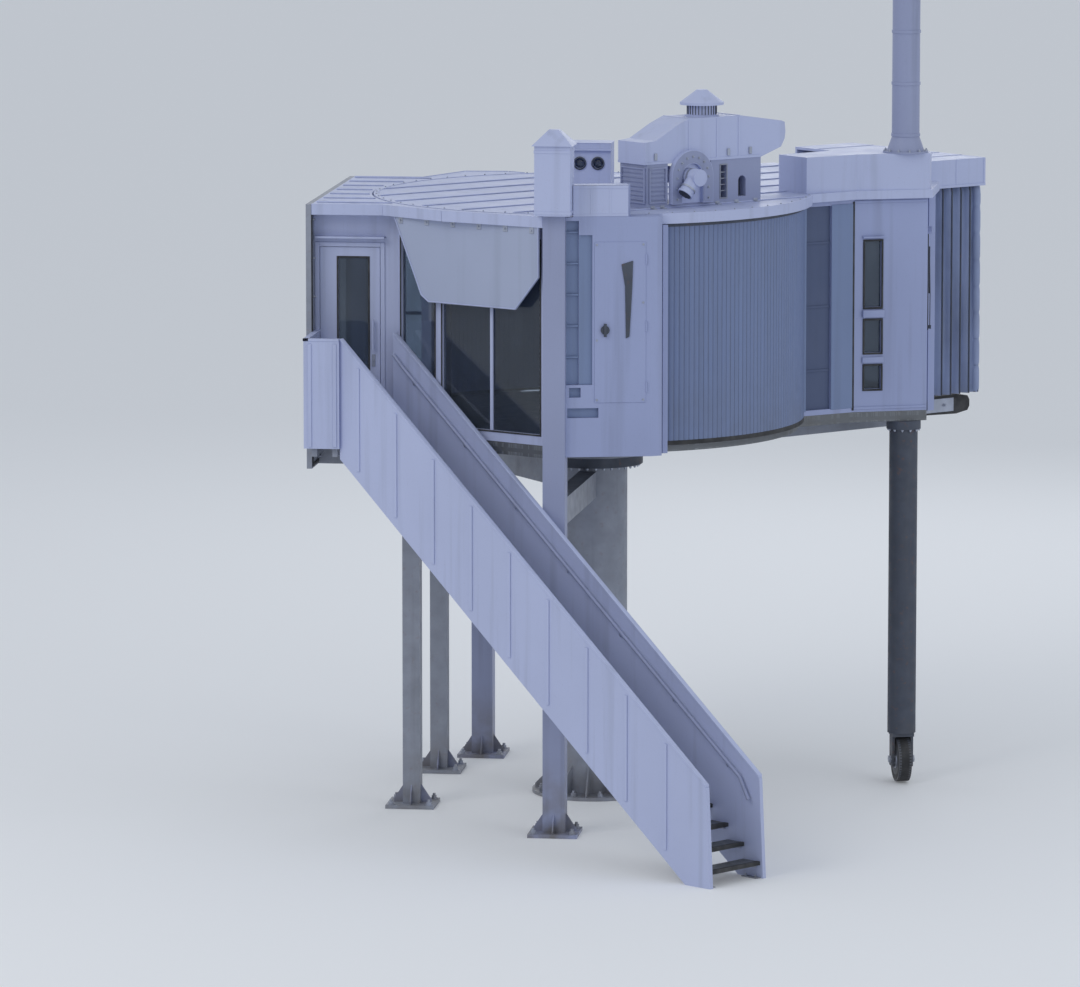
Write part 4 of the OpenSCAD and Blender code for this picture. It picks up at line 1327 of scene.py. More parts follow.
@dataclass
class RoofEquipment:
    """Louvres, seams and fittings of the equipment on the cab roof."""

    corner: tuple[float, float] = (-0.7084, -1.8650)
    depth: float = 0.48
    base: float = 0.30
    rise: float = 0.50
    end_span: tuple[float, float] = (0.93, 1.66)
    height: float = 0.99
    cowl_at: float = 0.99

    def build(self) -> None:
        """Makes the equipment's dressing."""
        here = CAB @ Matrix.Translation((*self.corner, ROOF_TOP))
        for dress in (self.louvres, self.hood, self.skid, self.arch, self.end_block, self.cowl):
            dress(here)
        self.lamps()

    def louvres(self, here: Matrix) -> None:
        """Louvred panels on the near side and on the end of the plenum.

        Args:
            here: Axes of the equipment.
        """
        end = here @ Matrix.Translation((0, self.depth, 0)) @ Matrix.Rotation(-math.pi / 2, 4, "Z")
        blades, backs = bmesh.new(), bmesh.new()
        for turn, width in ((here, self.base), (end, self.depth)):
            x0, x1 = 0.045, width - 0.045
            for i in range(7):
                tilt = turn @ Matrix.Translation((0, -0.009, 0.105 + 0.05 * i)) @ Matrix.Rotation(0.5, 4, "X")
                block(blades, (x0, -0.010, -0.002), (x1, 0.012, 0.002), turn=tilt)
            rim(blades, (x0, 0.08), (x1, 0.445), 0.02, (-0.022, -SKIN), turn, 0.003)
            plate(backs, (x0, 0.08), (x1, 0.445), 0.003, 0.0, turn)
        hand_over("intake_louvres", blades, Finish.COLUMN, "cab")
        hand_over("louvre_back_plates", backs, Finish.COLUMN, "cab")

    def hood(self, here: Matrix) -> None:
        """Joint strips, the lower drip edge and latches of the long hood.

        Args:
            here: Axes of the equipment.
        """
        bm = bmesh.new()
        drips = ((-0.0096, -SKIN), (self.depth + SKIN, self.depth + 0.010))
        for (y0, y1), drip in zip(flanks(self.depth, 0.006), drips):
            for x in (0.61, 1.02, 1.34):
                block(bm, (x - 0.014, y0, self.rise + 0.02), (x + 0.014, y1, self.height - 0.012), 0.001)
            block(bm, (-0.028, drip[0], self.rise + 0.002), (self.end_span[1], drip[1], self.rise + 0.03),
                  0.001)
        for x in (0.63, 1.34):
            block(bm, (x - 0.014, 0.0, self.height + 0.0008), (x + 0.014, self.depth, self.height + 0.006),
                  0.001)
        hand_over("hood_joint_strips", bm, Finish.WHITE, "cab", here)
        bm = bmesh.new()
        for x in (0.12, 1.18, 1.5):
            for y0, y1 in flanks(self.depth, 0.018):
                block(bm, (x - 0.02, y0, self.rise + 0.045), (x + 0.02, y1, self.rise + 0.125), 0.004)
        hand_over("hood_latches", bm, Finish.ZINC, "cab", here)

    def skid(self, here: Matrix) -> None:
        """Feet that hold the skid to the roof.

        Args:
            here: Axes of the equipment.
        """
        bm = bmesh.new()
        bolts = (-0.034, self.depth + 0.034)
        for x in (0.08, 0.22, 1.02, 1.30, 1.58):
            for foot, web, bolt in zip(flanks(self.depth, 0.055), flanks(self.depth, 0.007), bolts):
                block(bm, (x - 0.03, foot[0], 0.0008), (x + 0.03, foot[1], 0.008), 0.001)
                block(bm, (x - 0.03, web[0], 0.008), (x + 0.03, web[1], 0.036), 0.001)
                nut(bm, (x, bolt, 0.008), (0, 0, 1), 0.018, shank=0.2)
        hand_over("skid_feet", bm, Finish.ZINC, "cab", here)

    def arch(self, here: Matrix) -> None:
        """Bolts and facing of the arched surround, and the bands, rings and mesh of its duct.

        Args:
            here: Axes of the equipment.
        """
        middle, foot, spring = (self.base + self.end_span[0]) / 2, 0.0406, 0.3
        reach, outer, inner = 0.225, 0.292, 0.158
        bolts = [(s * reach, z) for z in (0.05, 0.17, 0.29) for s in (-1, 1)]
        bolts += [(x, spring + z) for x, z in (on_circle(reach, 22.5 * i) for i in range(1, 8))]
        bm = bmesh.new()
        for x, z in bolts:
            nut(bm, (middle + x, -0.0650, foot + z), (0, -1, 0), 0.022, here, 0.15)
        over, under = ([(x, spring + z) for x, z in (on_circle(r, 9 * i) for i in range(21))]
                       for r in (outer, inner))
        outline = over + [(-outer, 0.008), (-inner, 0.008)] + under[::-1] + [(inner, 0.008), (outer, 0.008)]
        facing = bmesh.new()
        slab(facing, [(middle + x, -0.0609, foot + z) for x, z in outline], (0, -0.004, 0), here)
        hand_over("arch_facing", facing, Finish.COLUMN, "cab")
        duct = here @ Matrix.Translation((middle - 0.04, 0.0, foot + spring)) \
            @ Matrix.Rotation(math.pi / 2, 4, "X")
        lean = here @ Matrix.Translation((middle - 0.04, -0.155, foot + spring)) \
            @ Matrix.Rotation(math.radians(-140), 4, "Y")
        band(bm, (0.0955, 0.103), (0.10, 0.125), 40, duct)
        band(bm, (0.0825, 0.09), (0.15, 0.17), 40, lean)
        hand_over("arch_bolts_and_duct_bands", bm, Finish.ZINC, "cab")
        bm = bmesh.new()
        hoop(bm, [(0.146, 0.0155), (0.1, 0.0155), (0.1, 0.03), (0.146, 0.024)], 0, 360, 40, duct)
        for z in (0.14, 0.158, 0.176, 0.194, 0.212):
            hoop(bm, [(0.0953, z), (0.0985, z + 0.006), (0.0953, z + 0.012)], 0, 360, 40, duct)
        hand_over("duct_rings", bm, Finish.WHITE, "cab")
        bm = bmesh.new()
        rod(bm, (0, 0, 0.2405), (0, 0, 0.2425), 0.078, 32, turn=lean)
        for x in (-0.06, -0.03, 0.0, 0.03, 0.06):
            h = math.sqrt(0.076 ** 2 - x * x)
            block(bm, (x - 0.002, -h, 0.2425), (x + 0.002, h, 0.2465), turn=lean)
        hand_over("duct_mouth_mesh", bm, Finish.DARK, "cab")

    def end_block(self, here: Matrix) -> None:
        """Dark linings that paint shade inside the end block's slot and its two arched recesses.

        Args:
            here: Axes of the equipment.
        """
        bm = bmesh.new()
        x0 = self.end_span[0]
        # Dark block at the back of the slot and plates in the two recesses: painted shade.
        block(bm, (x0 + 0.1405, 0.20, 0.0715), (x0 + 0.2245, 0.28, 0.4385), turn=here)
        for y0, y1 in ((0.108, 0.1178), (self.depth - 0.1178, self.depth - 0.108)):
            block(bm, (x0 + 0.401, y0, 0.0715), (x0 + 0.509, y1, 0.25), turn=here)
            rod(bm, (x0 + 0.455, y0, 0.25), (x0 + 0.455, y1, 0.25), 0.0545, 32, turn=here)
        hand_over("end_block_shade_linings", bm, Finish.DARK, "cab")
        bm = bmesh.new()
        rim(bm, (x0 + 0.14, 0.07), (x0 + 0.225, 0.44), 0.014, (-0.006, -SKIN), here, 0.001)
        for z in (0.14, 0.21, 0.28, 0.35):
            block(bm, (x0 + 0.1405, 0.02, z), (x0 + 0.2245, 0.03, z + 0.012), 0.001, turn=here)
        hand_over("end_block_trim", bm, Finish.GREY, "cab")

    def cowl(self, here: Matrix) -> None:
        """The cowl's foot ring, rain lip and ribs, and the bars in its throat.

        Args:
            here: Axes of the equipment.
        """
        at = here @ Matrix.Translation((self.cowl_at, self.depth / 2, self.height + 0.0009))
        slope = Matrix.Translation((0, 0, 0.2965)) @ Matrix.Rotation(math.radians(37.1), 4, "Y") \
            @ Matrix.Translation((-0.012, 0, 0))
        bm = bmesh.new()
        band(bm, (0.2453, 0.2495), (0.128, 0.157), 56)
        band(bm, (0.1655, 0.195), (0.0, 0.012))
        for spoke in spokes(8):
            block(bm, (0.06, -0.004, 0.0), (0.246, 0.004, 0.004), turn=spoke @ slope)
        hand_over("cowl_lip_and_ribs", bm, Finish.WHITE, "cab", at)
        bm = bmesh.new()
        for spoke in spokes(28):
            block(bm, (0.1655, -0.004, 0.02), (0.172, 0.004, 0.122), turn=spoke)
        hand_over("cowl_mesh_bars", bm, Finish.DARK, "cab", at)

    def lamps(self) -> None:
        """Bezels, lenses and visor of the lamp box, which is square to the link."""
        turn = Matrix.Translation((-0.36, 0.56, ROOF_TOP))
        lens, ring = bmesh.new(), bmesh.new()
        for x in (0.14, 0.35):
            face = turn @ Matrix.Translation((x, 0.0, 0.29)) @ Matrix.Rotation(math.pi / 2, 4, "X")
            hoop(ring, [(0.0605, 0.0006), (0.078, 0.0006), (0.076, 0.016), (0.0625, 0.02)], 0, 360, 32, face)
            dome = bmesh.ops.create_uvsphere(lens, u_segments=24, v_segments=10, radius=0.058)["verts"]
            bmesh.ops.scale(lens, vec=(1, 1, 0.35), verts=dome)
            bmesh.ops.transform(lens, matrix=face @ Matrix.Translation((0, 0, -0.05)), verts=dome)
        hand_over("lamp_bezels", ring, Finish.DARK, "cab")
        hand_over("lamp_lenses", lens, Finish.GLASS, "cab")
        bm = bmesh.new()
        plate(bm, (-0.02, 0.44), (0.52, 0.452), 0.05)
        block(bm, (-0.006, -0.006, 0.5208), (0.506, 0.366, 0.528), 0.002)
        hand_over("lamp_box_visor", bm, Finish.WHITE, "cab", turn)


# ---------------------------------------------------------------- fixed parts


@dataclass
class CurtainHousing:
    """Pocket linings, hatch, handle and lock of the curtain housing."""

    start: tuple[float, float] = (0.0153, -2.80)
    end: tuple[float, float] = (0.9447, -2.5887)
    cover: tuple[float, float] = (0.084, 0.7025)
    cover_rise: float = 0.35

    def build(self) -> None:
        """Makes the housing's dressing."""
        wall = along_wall(self.start, self.end, FLOOR)
        # Slate linings and ribs in the three pockets, darker than the housing: painted shade for the pockets.
        bm = bmesh.new()
        block(bm, (0.002, 0.058, 0.702), (0.148, 0.0695, 2.538), turn=wall)
        block(bm, (0.150, 0.028, 0.702), (0.2985, 0.0355, 2.378), turn=wall)
        block(bm, (0.042, 0.048, 0.562), (0.168, 0.0595, 0.668), turn=wall)
        block(bm, (0.022, 0.048, 0.332), (0.368, 0.0595, 0.438), turn=wall)
        for z in (1.0, 1.35, 1.7, 2.05, 2.4):
            block(bm, (0.004, 0.03, z), (0.146, 0.058, z + 0.02), 0.003, turn=wall)
        hand_over("housing_pocket_shade_liners", bm, Finish.SLATE)
        bm = bmesh.new()
        plate(bm, (0.325, 0.50), (0.90, 2.30), 0.008, 0.003, wall)
        for z in (0.62, 1.3, 2.05):
            rod(bm, (0.905, -0.010, z), (0.905, -0.010, z + 0.11), 0.009, 12, turn=wall)
        hand_over("housing_hatch", bm, Finish.WALL)
        self.cladding()
        bm = bmesh.new()
        pull = [(0.625, 2.05), (0.755, 2.09), (0.745, 1.78), (0.715, 1.24), (0.675, 1.22), (0.665, 1.8)]
        slab(bm, [(x, -0.0085, z) for x, z in pull], (0, -0.012, 0), wall, 0.004)
        rod(bm, (0.442, -0.008, 1.315), (0.442, -0.030, 1.315), 0.05, 20, turn=wall)
        block(bm, (0.425, -0.045, 1.24), (0.459, -0.028, 1.39), 0.006, 2, wall)
        hand_over("housing_lock_and_pull", bm, Finish.DARK)
        bm = bmesh.new()
        for x, z in ((0.35, 0.53), (0.87, 0.53), (0.35, 2.27), (0.87, 2.27), (0.35, 1.2), (0.87, 1.62)):
            nut(bm, (x, -0.008, z), (0, -1, 0), 0.018, wall, 0.1)
        hand_over("housing_screws", bm, Finish.ZINC)

    def cladding(self) -> None:
        """Sheets and joint strips on the cover above the roof."""
        wall = along_wall(self.start, self.end, ROOF_TOP)
        (x0, x1), top = self.cover, self.cover_rise
        bm = bmesh.new()
        plate(bm, (x0, 0.01), (x1, 0.035), 0.006, 0.001, wall)
        plate(bm, (x0, top - 0.03), (x1, top + 0.006), 0.008, 0.001, wall)
        block(bm, (x0 + 0.0005, -0.008, top + 0.0005), (x1, 0.19, top + 0.006), 0.001, turn=wall)
        for x in (0.29, 0.50):
            plate(bm, (x - 0.012, 0.035), (x + 0.012, top - 0.03), 0.005, 0.001, wall)
        for a, b in ((x0 + 0.002, 0.2775), (0.3025, 0.4875), (0.5125, x1 - 0.002)):
            plate(bm, (a, 0.0355), (b, top - 0.0305), 0.003, 0.0, wall)
        hand_over("housing_cover_cladding", bm, Finish.WHITE)


@dataclass
class LinkGallery:
    """Frames, gaskets, ribs, seams and fixings of the link."""

    half: float = 1.45
    back: float = -3.02
    wall_end: float = -2.0611
    knee: tuple[float, float] = (-1.533, -1.94)
    wing_end: tuple[float, float] = (-0.2353, -2.70)
    far_end: tuple[float, float] = (-1.7179, 2.1113)
    sill: float = 0.12
    head: float = 2.30
    flange_foot: float = 3.96
    roof_gap: float = 2.56

    def build(self) -> None:
        """Makes the link's dressing."""
        self.wing()
        self.far_side()
        self.flange()
        self.roof()

    def wing(self) -> None:
        """Gaskets and glazing bar of the two-part window beside the near column."""
        gasket, bars = bmesh.new(), bmesh.new()
        for a, b in (((self.wall_end, -self.half), self.knee), (self.knee, self.wing_end)):
            wall, length = along_wall(a, b, FLOOR), math.dist(a, b)
            rim(gasket, (0.06, self.sill), (length - 0.06, self.head), 0.018, (-0.010, -SKIN), wall, 0.003)
            if length > 1.2:
                block(bars, (length / 2 - 0.02, 0.005, self.sill + 0.001),
                      (length / 2 + 0.02, 0.0285, self.head - 0.001), 0.003, turn=wall)
        hand_over("wing_gaskets", gasket, Finish.RUBBER)
        hand_over("wing_glazing_bars", bars, Finish.WHITE)

    def far_side(self) -> None:
        """Gasket and bar of the far window, and the ribs of the far wing wall."""
        wall = Matrix.Translation((0, self.half, FLOOR)) @ Matrix.Rotation(math.pi, 4, "Z")
        gasket, bars = bmesh.new(), bmesh.new()
        x0, x1 = 0.12 - self.wall_end, -0.18 - self.back
        rim(gasket, (x0, self.sill), (x1, self.head), 0.018, (-0.010, -SKIN), wall, 0.003)
        block(bars, (x0 + 0.0005, 0.012, 0.98), (x1 - 0.0005, 0.043, 1.02), 0.003, turn=wall)
        hand_over("far_window_gasket", gasket, Finish.RUBBER)
        wing = along_wall(self.far_end, (self.wall_end, self.half), FLOOR)
        for x in (0.12, 0.37, 0.62):
            plate(bars, (x - 0.025, 0.05), (x + 0.025, 2.40), 0.012, 0.004, wing)
        hand_over("far_side_bars_and_ribs", bars, Finish.WHITE)

    def flange(self) -> None:
        """The seal and bolts of the wall flange."""
        y, z0, z1 = self.half + 0.24, self.flange_foot, ROOF_TOP
        bm = bmesh.new()
        for y0, y1, low, high in ((0.02 - y, y - 0.02, z1 - 0.075, z1 - 0.02),
                                  (0.02 - y, y - 0.02, z0 + 0.02, z0 + 0.06),
                                  (0.015 - y, 0.055 - y, z0 + 0.06, z1 - 0.075),
                                  (y - 0.055, y - 0.015, z0 + 0.06, z1 - 0.075)):
            block(bm, (self.back + SKIN, y0, low), (self.back + 0.012, y1, high), 0.004)
        hand_over("wall_flange_edge_strip", bm, Finish.RUBBER)
        bm = bmesh.new()
        places = [(s * (y - 0.1), z0 + 0.2 + i * 0.44) for s in (-1, 1) for i in range(7)]
        places += [(-1.25 + i * 0.5, z0 + 0.09) for i in range(6)]
        for across, z in places:
            nut(bm, (self.back, across, z), (1, 0, 0), 0.036)
        hand_over("wall_flange_bolts", bm, Finish.ZINC)

    def roof(self) -> None:
        """Seams and eave trims of the link roof."""
        bm = bmesh.new()
        for y in (-1.45, -0.95, -0.45, 0.05, 0.55, 1.05, 1.5):
            reach = math.sqrt(self.roof_gap ** 2 - y * y) + 0.01
            block(bm, (self.back + 0.03, y - 0.011, ROOF_TOP + SKIN), (-reach, y + 0.011, ROOF_TOP + 0.014),
                  0.004)
        for eave in (((-3.018, -1.68), (-2.2, -1.68), (-1.45, -2.25), (-0.2353, -2.84)),
                     ((-1.08, 2.33), (-1.3, 2.48), (-1.81, 2.45), (-2.2, 1.64), (-3.018, 1.64))):
            for a, b in zip(eave, eave[1:]):
                plate(bm, (0.002, ROOF_UNDER - 0.018), (math.dist(a, b) - 0.002, ROOF_TOP + 0.008), 0.006,
                      turn=along_wall(a, b))
        hand_over("link_roof_seams_and_eaves", bm, Finish.WHITE)


@dataclass
class WeatherScreen:
    """Edge rope and hangers of the hung screen."""

    start: tuple[float, float] = (-2.19, -1.665)
    end: tuple[float, float] = (-0.275, -2.80)
    drop: float = 0.96
    hangers: int = 6

    def build(self) -> None:
        """Makes the screen's dressing."""
        wall = along_wall(self.start, self.end, ROOF_UNDER - 0.0003)
        length = math.dist(self.start, self.end)
        right, foot = length - 0.012, 0.012 - self.drop
        corners = [(0.163, -0.012), (right, -0.012), (right, -0.6 * self.drop), (length - 0.335, foot),
                   (0.655, foot), (0.553, 0.006 - 0.92 * self.drop)]
        bm = bmesh.new()
        for a, b in zip(corners, corners[1:] + corners[:1]):
            rod(bm, (a[0], -0.018, a[1]), (b[0], -0.018, b[1]), 0.0075, 8, turn=wall)
        hand_over("screen_edge_rope", bm, Finish.WHITE)
        bm = bmesh.new()
        for i in range(self.hangers):
            x = 0.26 + i * (length - 0.36) / (self.hangers - 1)
            block(bm, (x - 0.03, -0.024, -0.09), (x + 0.03, -0.0145, -0.004), 0.003, turn=wall)
            nut(bm, (x, -0.024, -0.055), (0, -1, 0), 0.02, wall, 0.1)
        hand_over("screen_hangers", bm, Finish.ZINC)


@dataclass
class ServiceStair:
    """Handrails, cap rails, ribs, nosings and foot plates of the stair and landing."""

    turn: float = math.radians(37.0)
    slope: float = math.radians(38.0)
    width: float = 0.80
    panel: float = 0.05
    steps: int = 24
    rise: float = 1.10
    corner: tuple[float, float] = (-2.6056, -2.3028)
    landing_left: float = -2.96

    @property
    def drop(self) -> float:
        """How far the stair falls over each metre in plan."""
        return math.tan(self.slope)

    @property
    def run(self) -> float:
        """The stair's length in plan."""
        return FLOOR / self.drop

    def build(self) -> None:
        """Makes the stair's dressing."""
        here = Matrix.Translation((*self.corner, 0)) @ Matrix.Rotation(-self.turn, 4, "Z")
        self.handrails(here)
        self.caps(here)
        self.treads(here)
        self.landing()

    def handrails(self, here: Matrix) -> None:
        """Handrails on both balustrades and their brackets.

        Args:
            here: Axes of the stair.
        """
        drop, run = self.drop, self.run
        rails, brackets = bmesh.new(), bmesh.new()
        for face, off in ((self.panel, 0.045), (self.panel + self.width, -0.045)):
            y = face + off
            pipe(rails, [(0.05, y, FLOOR + 0.88), (0.2, y, FLOOR + 0.9 - 0.2 * drop),
                         (run - 0.25, y, 0.9 + 0.25 * drop), (run - 0.12, y, 0.86)], 0.021, 10, here)
            for i in range(7):
                x = 0.35 + i * (run - 0.8) / 6
                z = FLOOR + 0.9 - x * drop
                pipe(brackets, [(x, face, z - 0.06), (x, (y + face) / 2, z - 0.07), (x, y, z - 0.015)],
                     0.008, 6, here)
        hand_over("stair_handrails", rails, Finish.COLUMN)
        hand_over("handrail_brackets", brackets, Finish.ZINC)

    def caps(self, here: Matrix) -> None:
        """Cap rails and stiffening ribs of the two balustrades.

        Args:
            here: Axes of the stair.
        """
        end, outer = self.run - 0.01, 2 * self.panel + self.width
        top, foot = FLOOR + self.rise, self.rise + 0.01 * self.drop
        section = [(0.004, top + SKIN), (end, foot + SKIN), (end, foot + 0.03), (0.004, top + 0.028)]
        bm = bmesh.new()
        for y in (self.panel / 2, outer - self.panel / 2):
            slab(bm, [(x, y - 0.033, z) for x, z in section], (0, 0.066, 0), here, 0.003)
        for y0, y1 in flanks(outer, 0.014):
            for i in range(9):
                x = 0.3 + i * (self.run - 0.9) / 8
                z = FLOOR - x * self.drop
                block(bm, (x - 0.022, y0, z - 0.12), (x + 0.022, y1, z + self.rise - 0.05), 0.003, turn=here)
        hand_over("balustrade_caps_and_ribs", bm, Finish.WHITE)

    def treads(self, here: Matrix) -> None:
        """Nosings, tread brackets and the stair's foot plates.

        Args:
            here: Axes of the stair.
        """
        run, riser, going = self.run, FLOOR / self.steps, self.run / self.steps
        left, right = self.panel, self.panel + self.width
        nosings, plates = bmesh.new(), bmesh.new()
        for i in range(1, self.steps):
            x, z = (i + 1) * going + 0.02, FLOOR - i * riser
            block(nosings, (x - 0.045, left + 0.012, z + SKIN), (x + 0.003, right - 0.012, z + 0.006), 0.0015,
                  turn=here)
            block(nosings, (x + SKIN, left + 0.012, z - 0.036), (x + 0.004, right - 0.012, z + 0.004), 0.001,
                  turn=here)
            x, under = i * going, z - 0.04
            for y0, y1 in ((left, left + 0.03), (right - 0.03, right)):
                block(plates, (x + 0.03, y0, under - 0.03), (x + going - 0.03, y1, under - SKIN), 0.002,
                      turn=here)
        hand_over("tread_nosings", nosings, Finish.RUBBER)
        for y0, y1 in ((left + SKIN, left + 0.07), (right - 0.07, right - SKIN)):
            block(plates, (run - 0.20, y0, 0.001), (run + 0.03, y1, 0.012), 0.002, turn=here)
            for x in (run - 0.16, run - 0.02):
                nut(plates, (x, (y0 + y1) / 2, 0.012), (0, 0, 1), 0.024, here)
        hand_over("tread_angles_and_foot_plates", plates, Finish.ZINC)

    def landing(self) -> None:
        """Cap rail, ribs and threshold of the landing."""
        left, (right, front), top = self.landing_left, self.corner, FLOOR + self.rise
        bm = bmesh.new()
        for x, y in ((left + 0.008, -1.452), (right - 0.002, front + 0.008)):
            block(bm, (left - 0.058, front - 0.058, top + SKIN), (x, y, top + 0.028), 0.003)
        for x in (left + 0.02, right - 0.05):
            block(bm, (x - 0.02, front - 0.064, FLOOR - 0.1), (x + 0.02, front - 0.0504, top - 0.03), 0.003)
        for y in (front + 0.2, front + 0.62):
            block(bm, (left - 0.064, y - 0.02, FLOOR - 0.1), (left - 0.0504, y + 0.02, top - 0.03), 0.003)
        hand_over("landing_caps_and_ribs", bm, Finish.WHITE)
        bm = bmesh.new()
        block(bm, (left + 0.01, -1.50, FLOOR + SKIN), (left + 0.69, -1.4515, FLOOR + 0.008), 0.002)
        hand_over("door_threshold", bm, Finish.ZINC)


@dataclass
class ServiceDoor:
    """Gasket, kick plate, lock and casing of the service door."""

    left: float = -2.96
    width: float = 0.70
    height: float = 2.08
    wall_face: float = -1.45

    def build(self) -> None:
        """Makes the door's dressing."""
        leaf = Matrix.Translation((self.left + 0.006, self.wall_face + 0.005, FLOOR + 0.012))
        bm = bmesh.new()
        for depth in ((-0.007, -SKIN), (0.045 + SKIN, 0.051)):
            rim(bm, (0.21, 0.42), (0.55, 1.94), 0.02, depth, ROW, 0.002)
        hand_over("door_pane_gasket", bm, Finish.RUBBER, "service_door", leaf)
        bm = bmesh.new()
        plate(bm, (0.03, 0.03), (0.65, 0.26), 0.004, 0.001)
        plate(bm, (0.59, 0.70), (0.63, 0.84), 0.006)
        rod(bm, (0.61, -0.005, 0.77), (0.61, -0.018, 0.77), 0.012, 16)
        hand_over("door_kick_plate_and_lock", bm, Finish.ZINC, "service_door", leaf)
        x0, x1, top = self.left, self.left + self.width, self.height
        bm = bmesh.new()
        plate(bm, (x0 - 0.05, 0.002), (x0 - SKIN, top + 0.05), 0.014, 0.003)
        plate(bm, (x1 + SKIN, 0.002), (x1 + 0.05, top + 0.05), 0.014, 0.003)
        plate(bm, (x0, top + SKIN), (x1, top + 0.05), 0.014, 0.003)
        plate(bm, (x0 - 0.04, top + 0.10), (x1 + 0.06, top + 0.125), 0.11, 0.004)
        hand_over("door_casing", bm, Finish.WHITE, turn=Matrix.Translation((0, self.wall_face, FLOOR)))


@dataclass
class SupportFrame:
    """Anchor nuts, bearing bolts, gussets and column fittings."""

    pcd: float = 1.20
    columns: tuple[tuple[float, float], ...] = ((-0.11, -2.74), (-1.5729, 2.2463))
    trestle: tuple[tuple[float, float], ...] = ((-1.95, -1.15), (-1.95, 1.15))
    half_widths: tuple[float, ...] = (0.125, 0.125, 0.10, 0.10)
    plate_top: float = 0.04

    def build(self) -> None:
        """Makes the frame's dressing."""
        feet = self.columns + self.trestle
        places = around(12, self.pcd / 2, 15)
        places += [(x + a, y + b) for x, y in feet for a in (-0.22, 0.22) for b in (-0.22, 0.22)]
        bm = bmesh.new()
        for x, y in places:
            nut(bm, (x, y, self.plate_top), (0, 0, 1), 0.062)
        hand_over("anchor_nuts", bm, Finish.ZINC)
        bm = bmesh.new()
        for x, y in around(36, 0.54):
            nut(bm, (x, y, 3.86), (0, 0, -1), 0.034, shank=0.3)
        hand_over("bearing_bolts", bm, Finish.ZINC)
        bm = bmesh.new()
        for (x, y), half in zip(feet, self.half_widths):
            profile = [(half, 0.0405), (half + 0.12, 0.0405), (half + 0.12, 0.07), (half, 0.25)]
            for spoke in spokes(4):
                slab(bm, [(r, -0.006, z) for r, z in profile], (0, 0.012, 0),
                     Matrix.Translation((x, y, 0)) @ spoke)
        hand_over("base_gussets", bm, Finish.COLUMN)
        self.column_head()

    def column_head(self) -> None:
        """The two bands around the boxed head on the near column."""
        low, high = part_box("column_head")
        edge, proud = 0.03, 0.006
        x0, x1, y0, y1 = low.x + edge, high.x - edge, low.y + edge, high.y - edge
        bm = bmesh.new()
        for z in (low.z + 0.02, low.z + 0.70):
            for left, near, right, far in ((x0 - proud, y0 - proud, x1 + proud, y0 - SKIN),
                                           (x0 - proud, y1 + SKIN, x1 + proud, y1 + proud),
                                           (x0 - proud, y0, x0 - SKIN, y1), (x1 + SKIN, y0, x1 + proud, y1)):
                block(bm, (left, near, z), (right, far, z + 0.03), 0.001)
        hand_over("column_head_bands", bm, Finish.WHITE)


# ---------------------------------------------------------------- studio


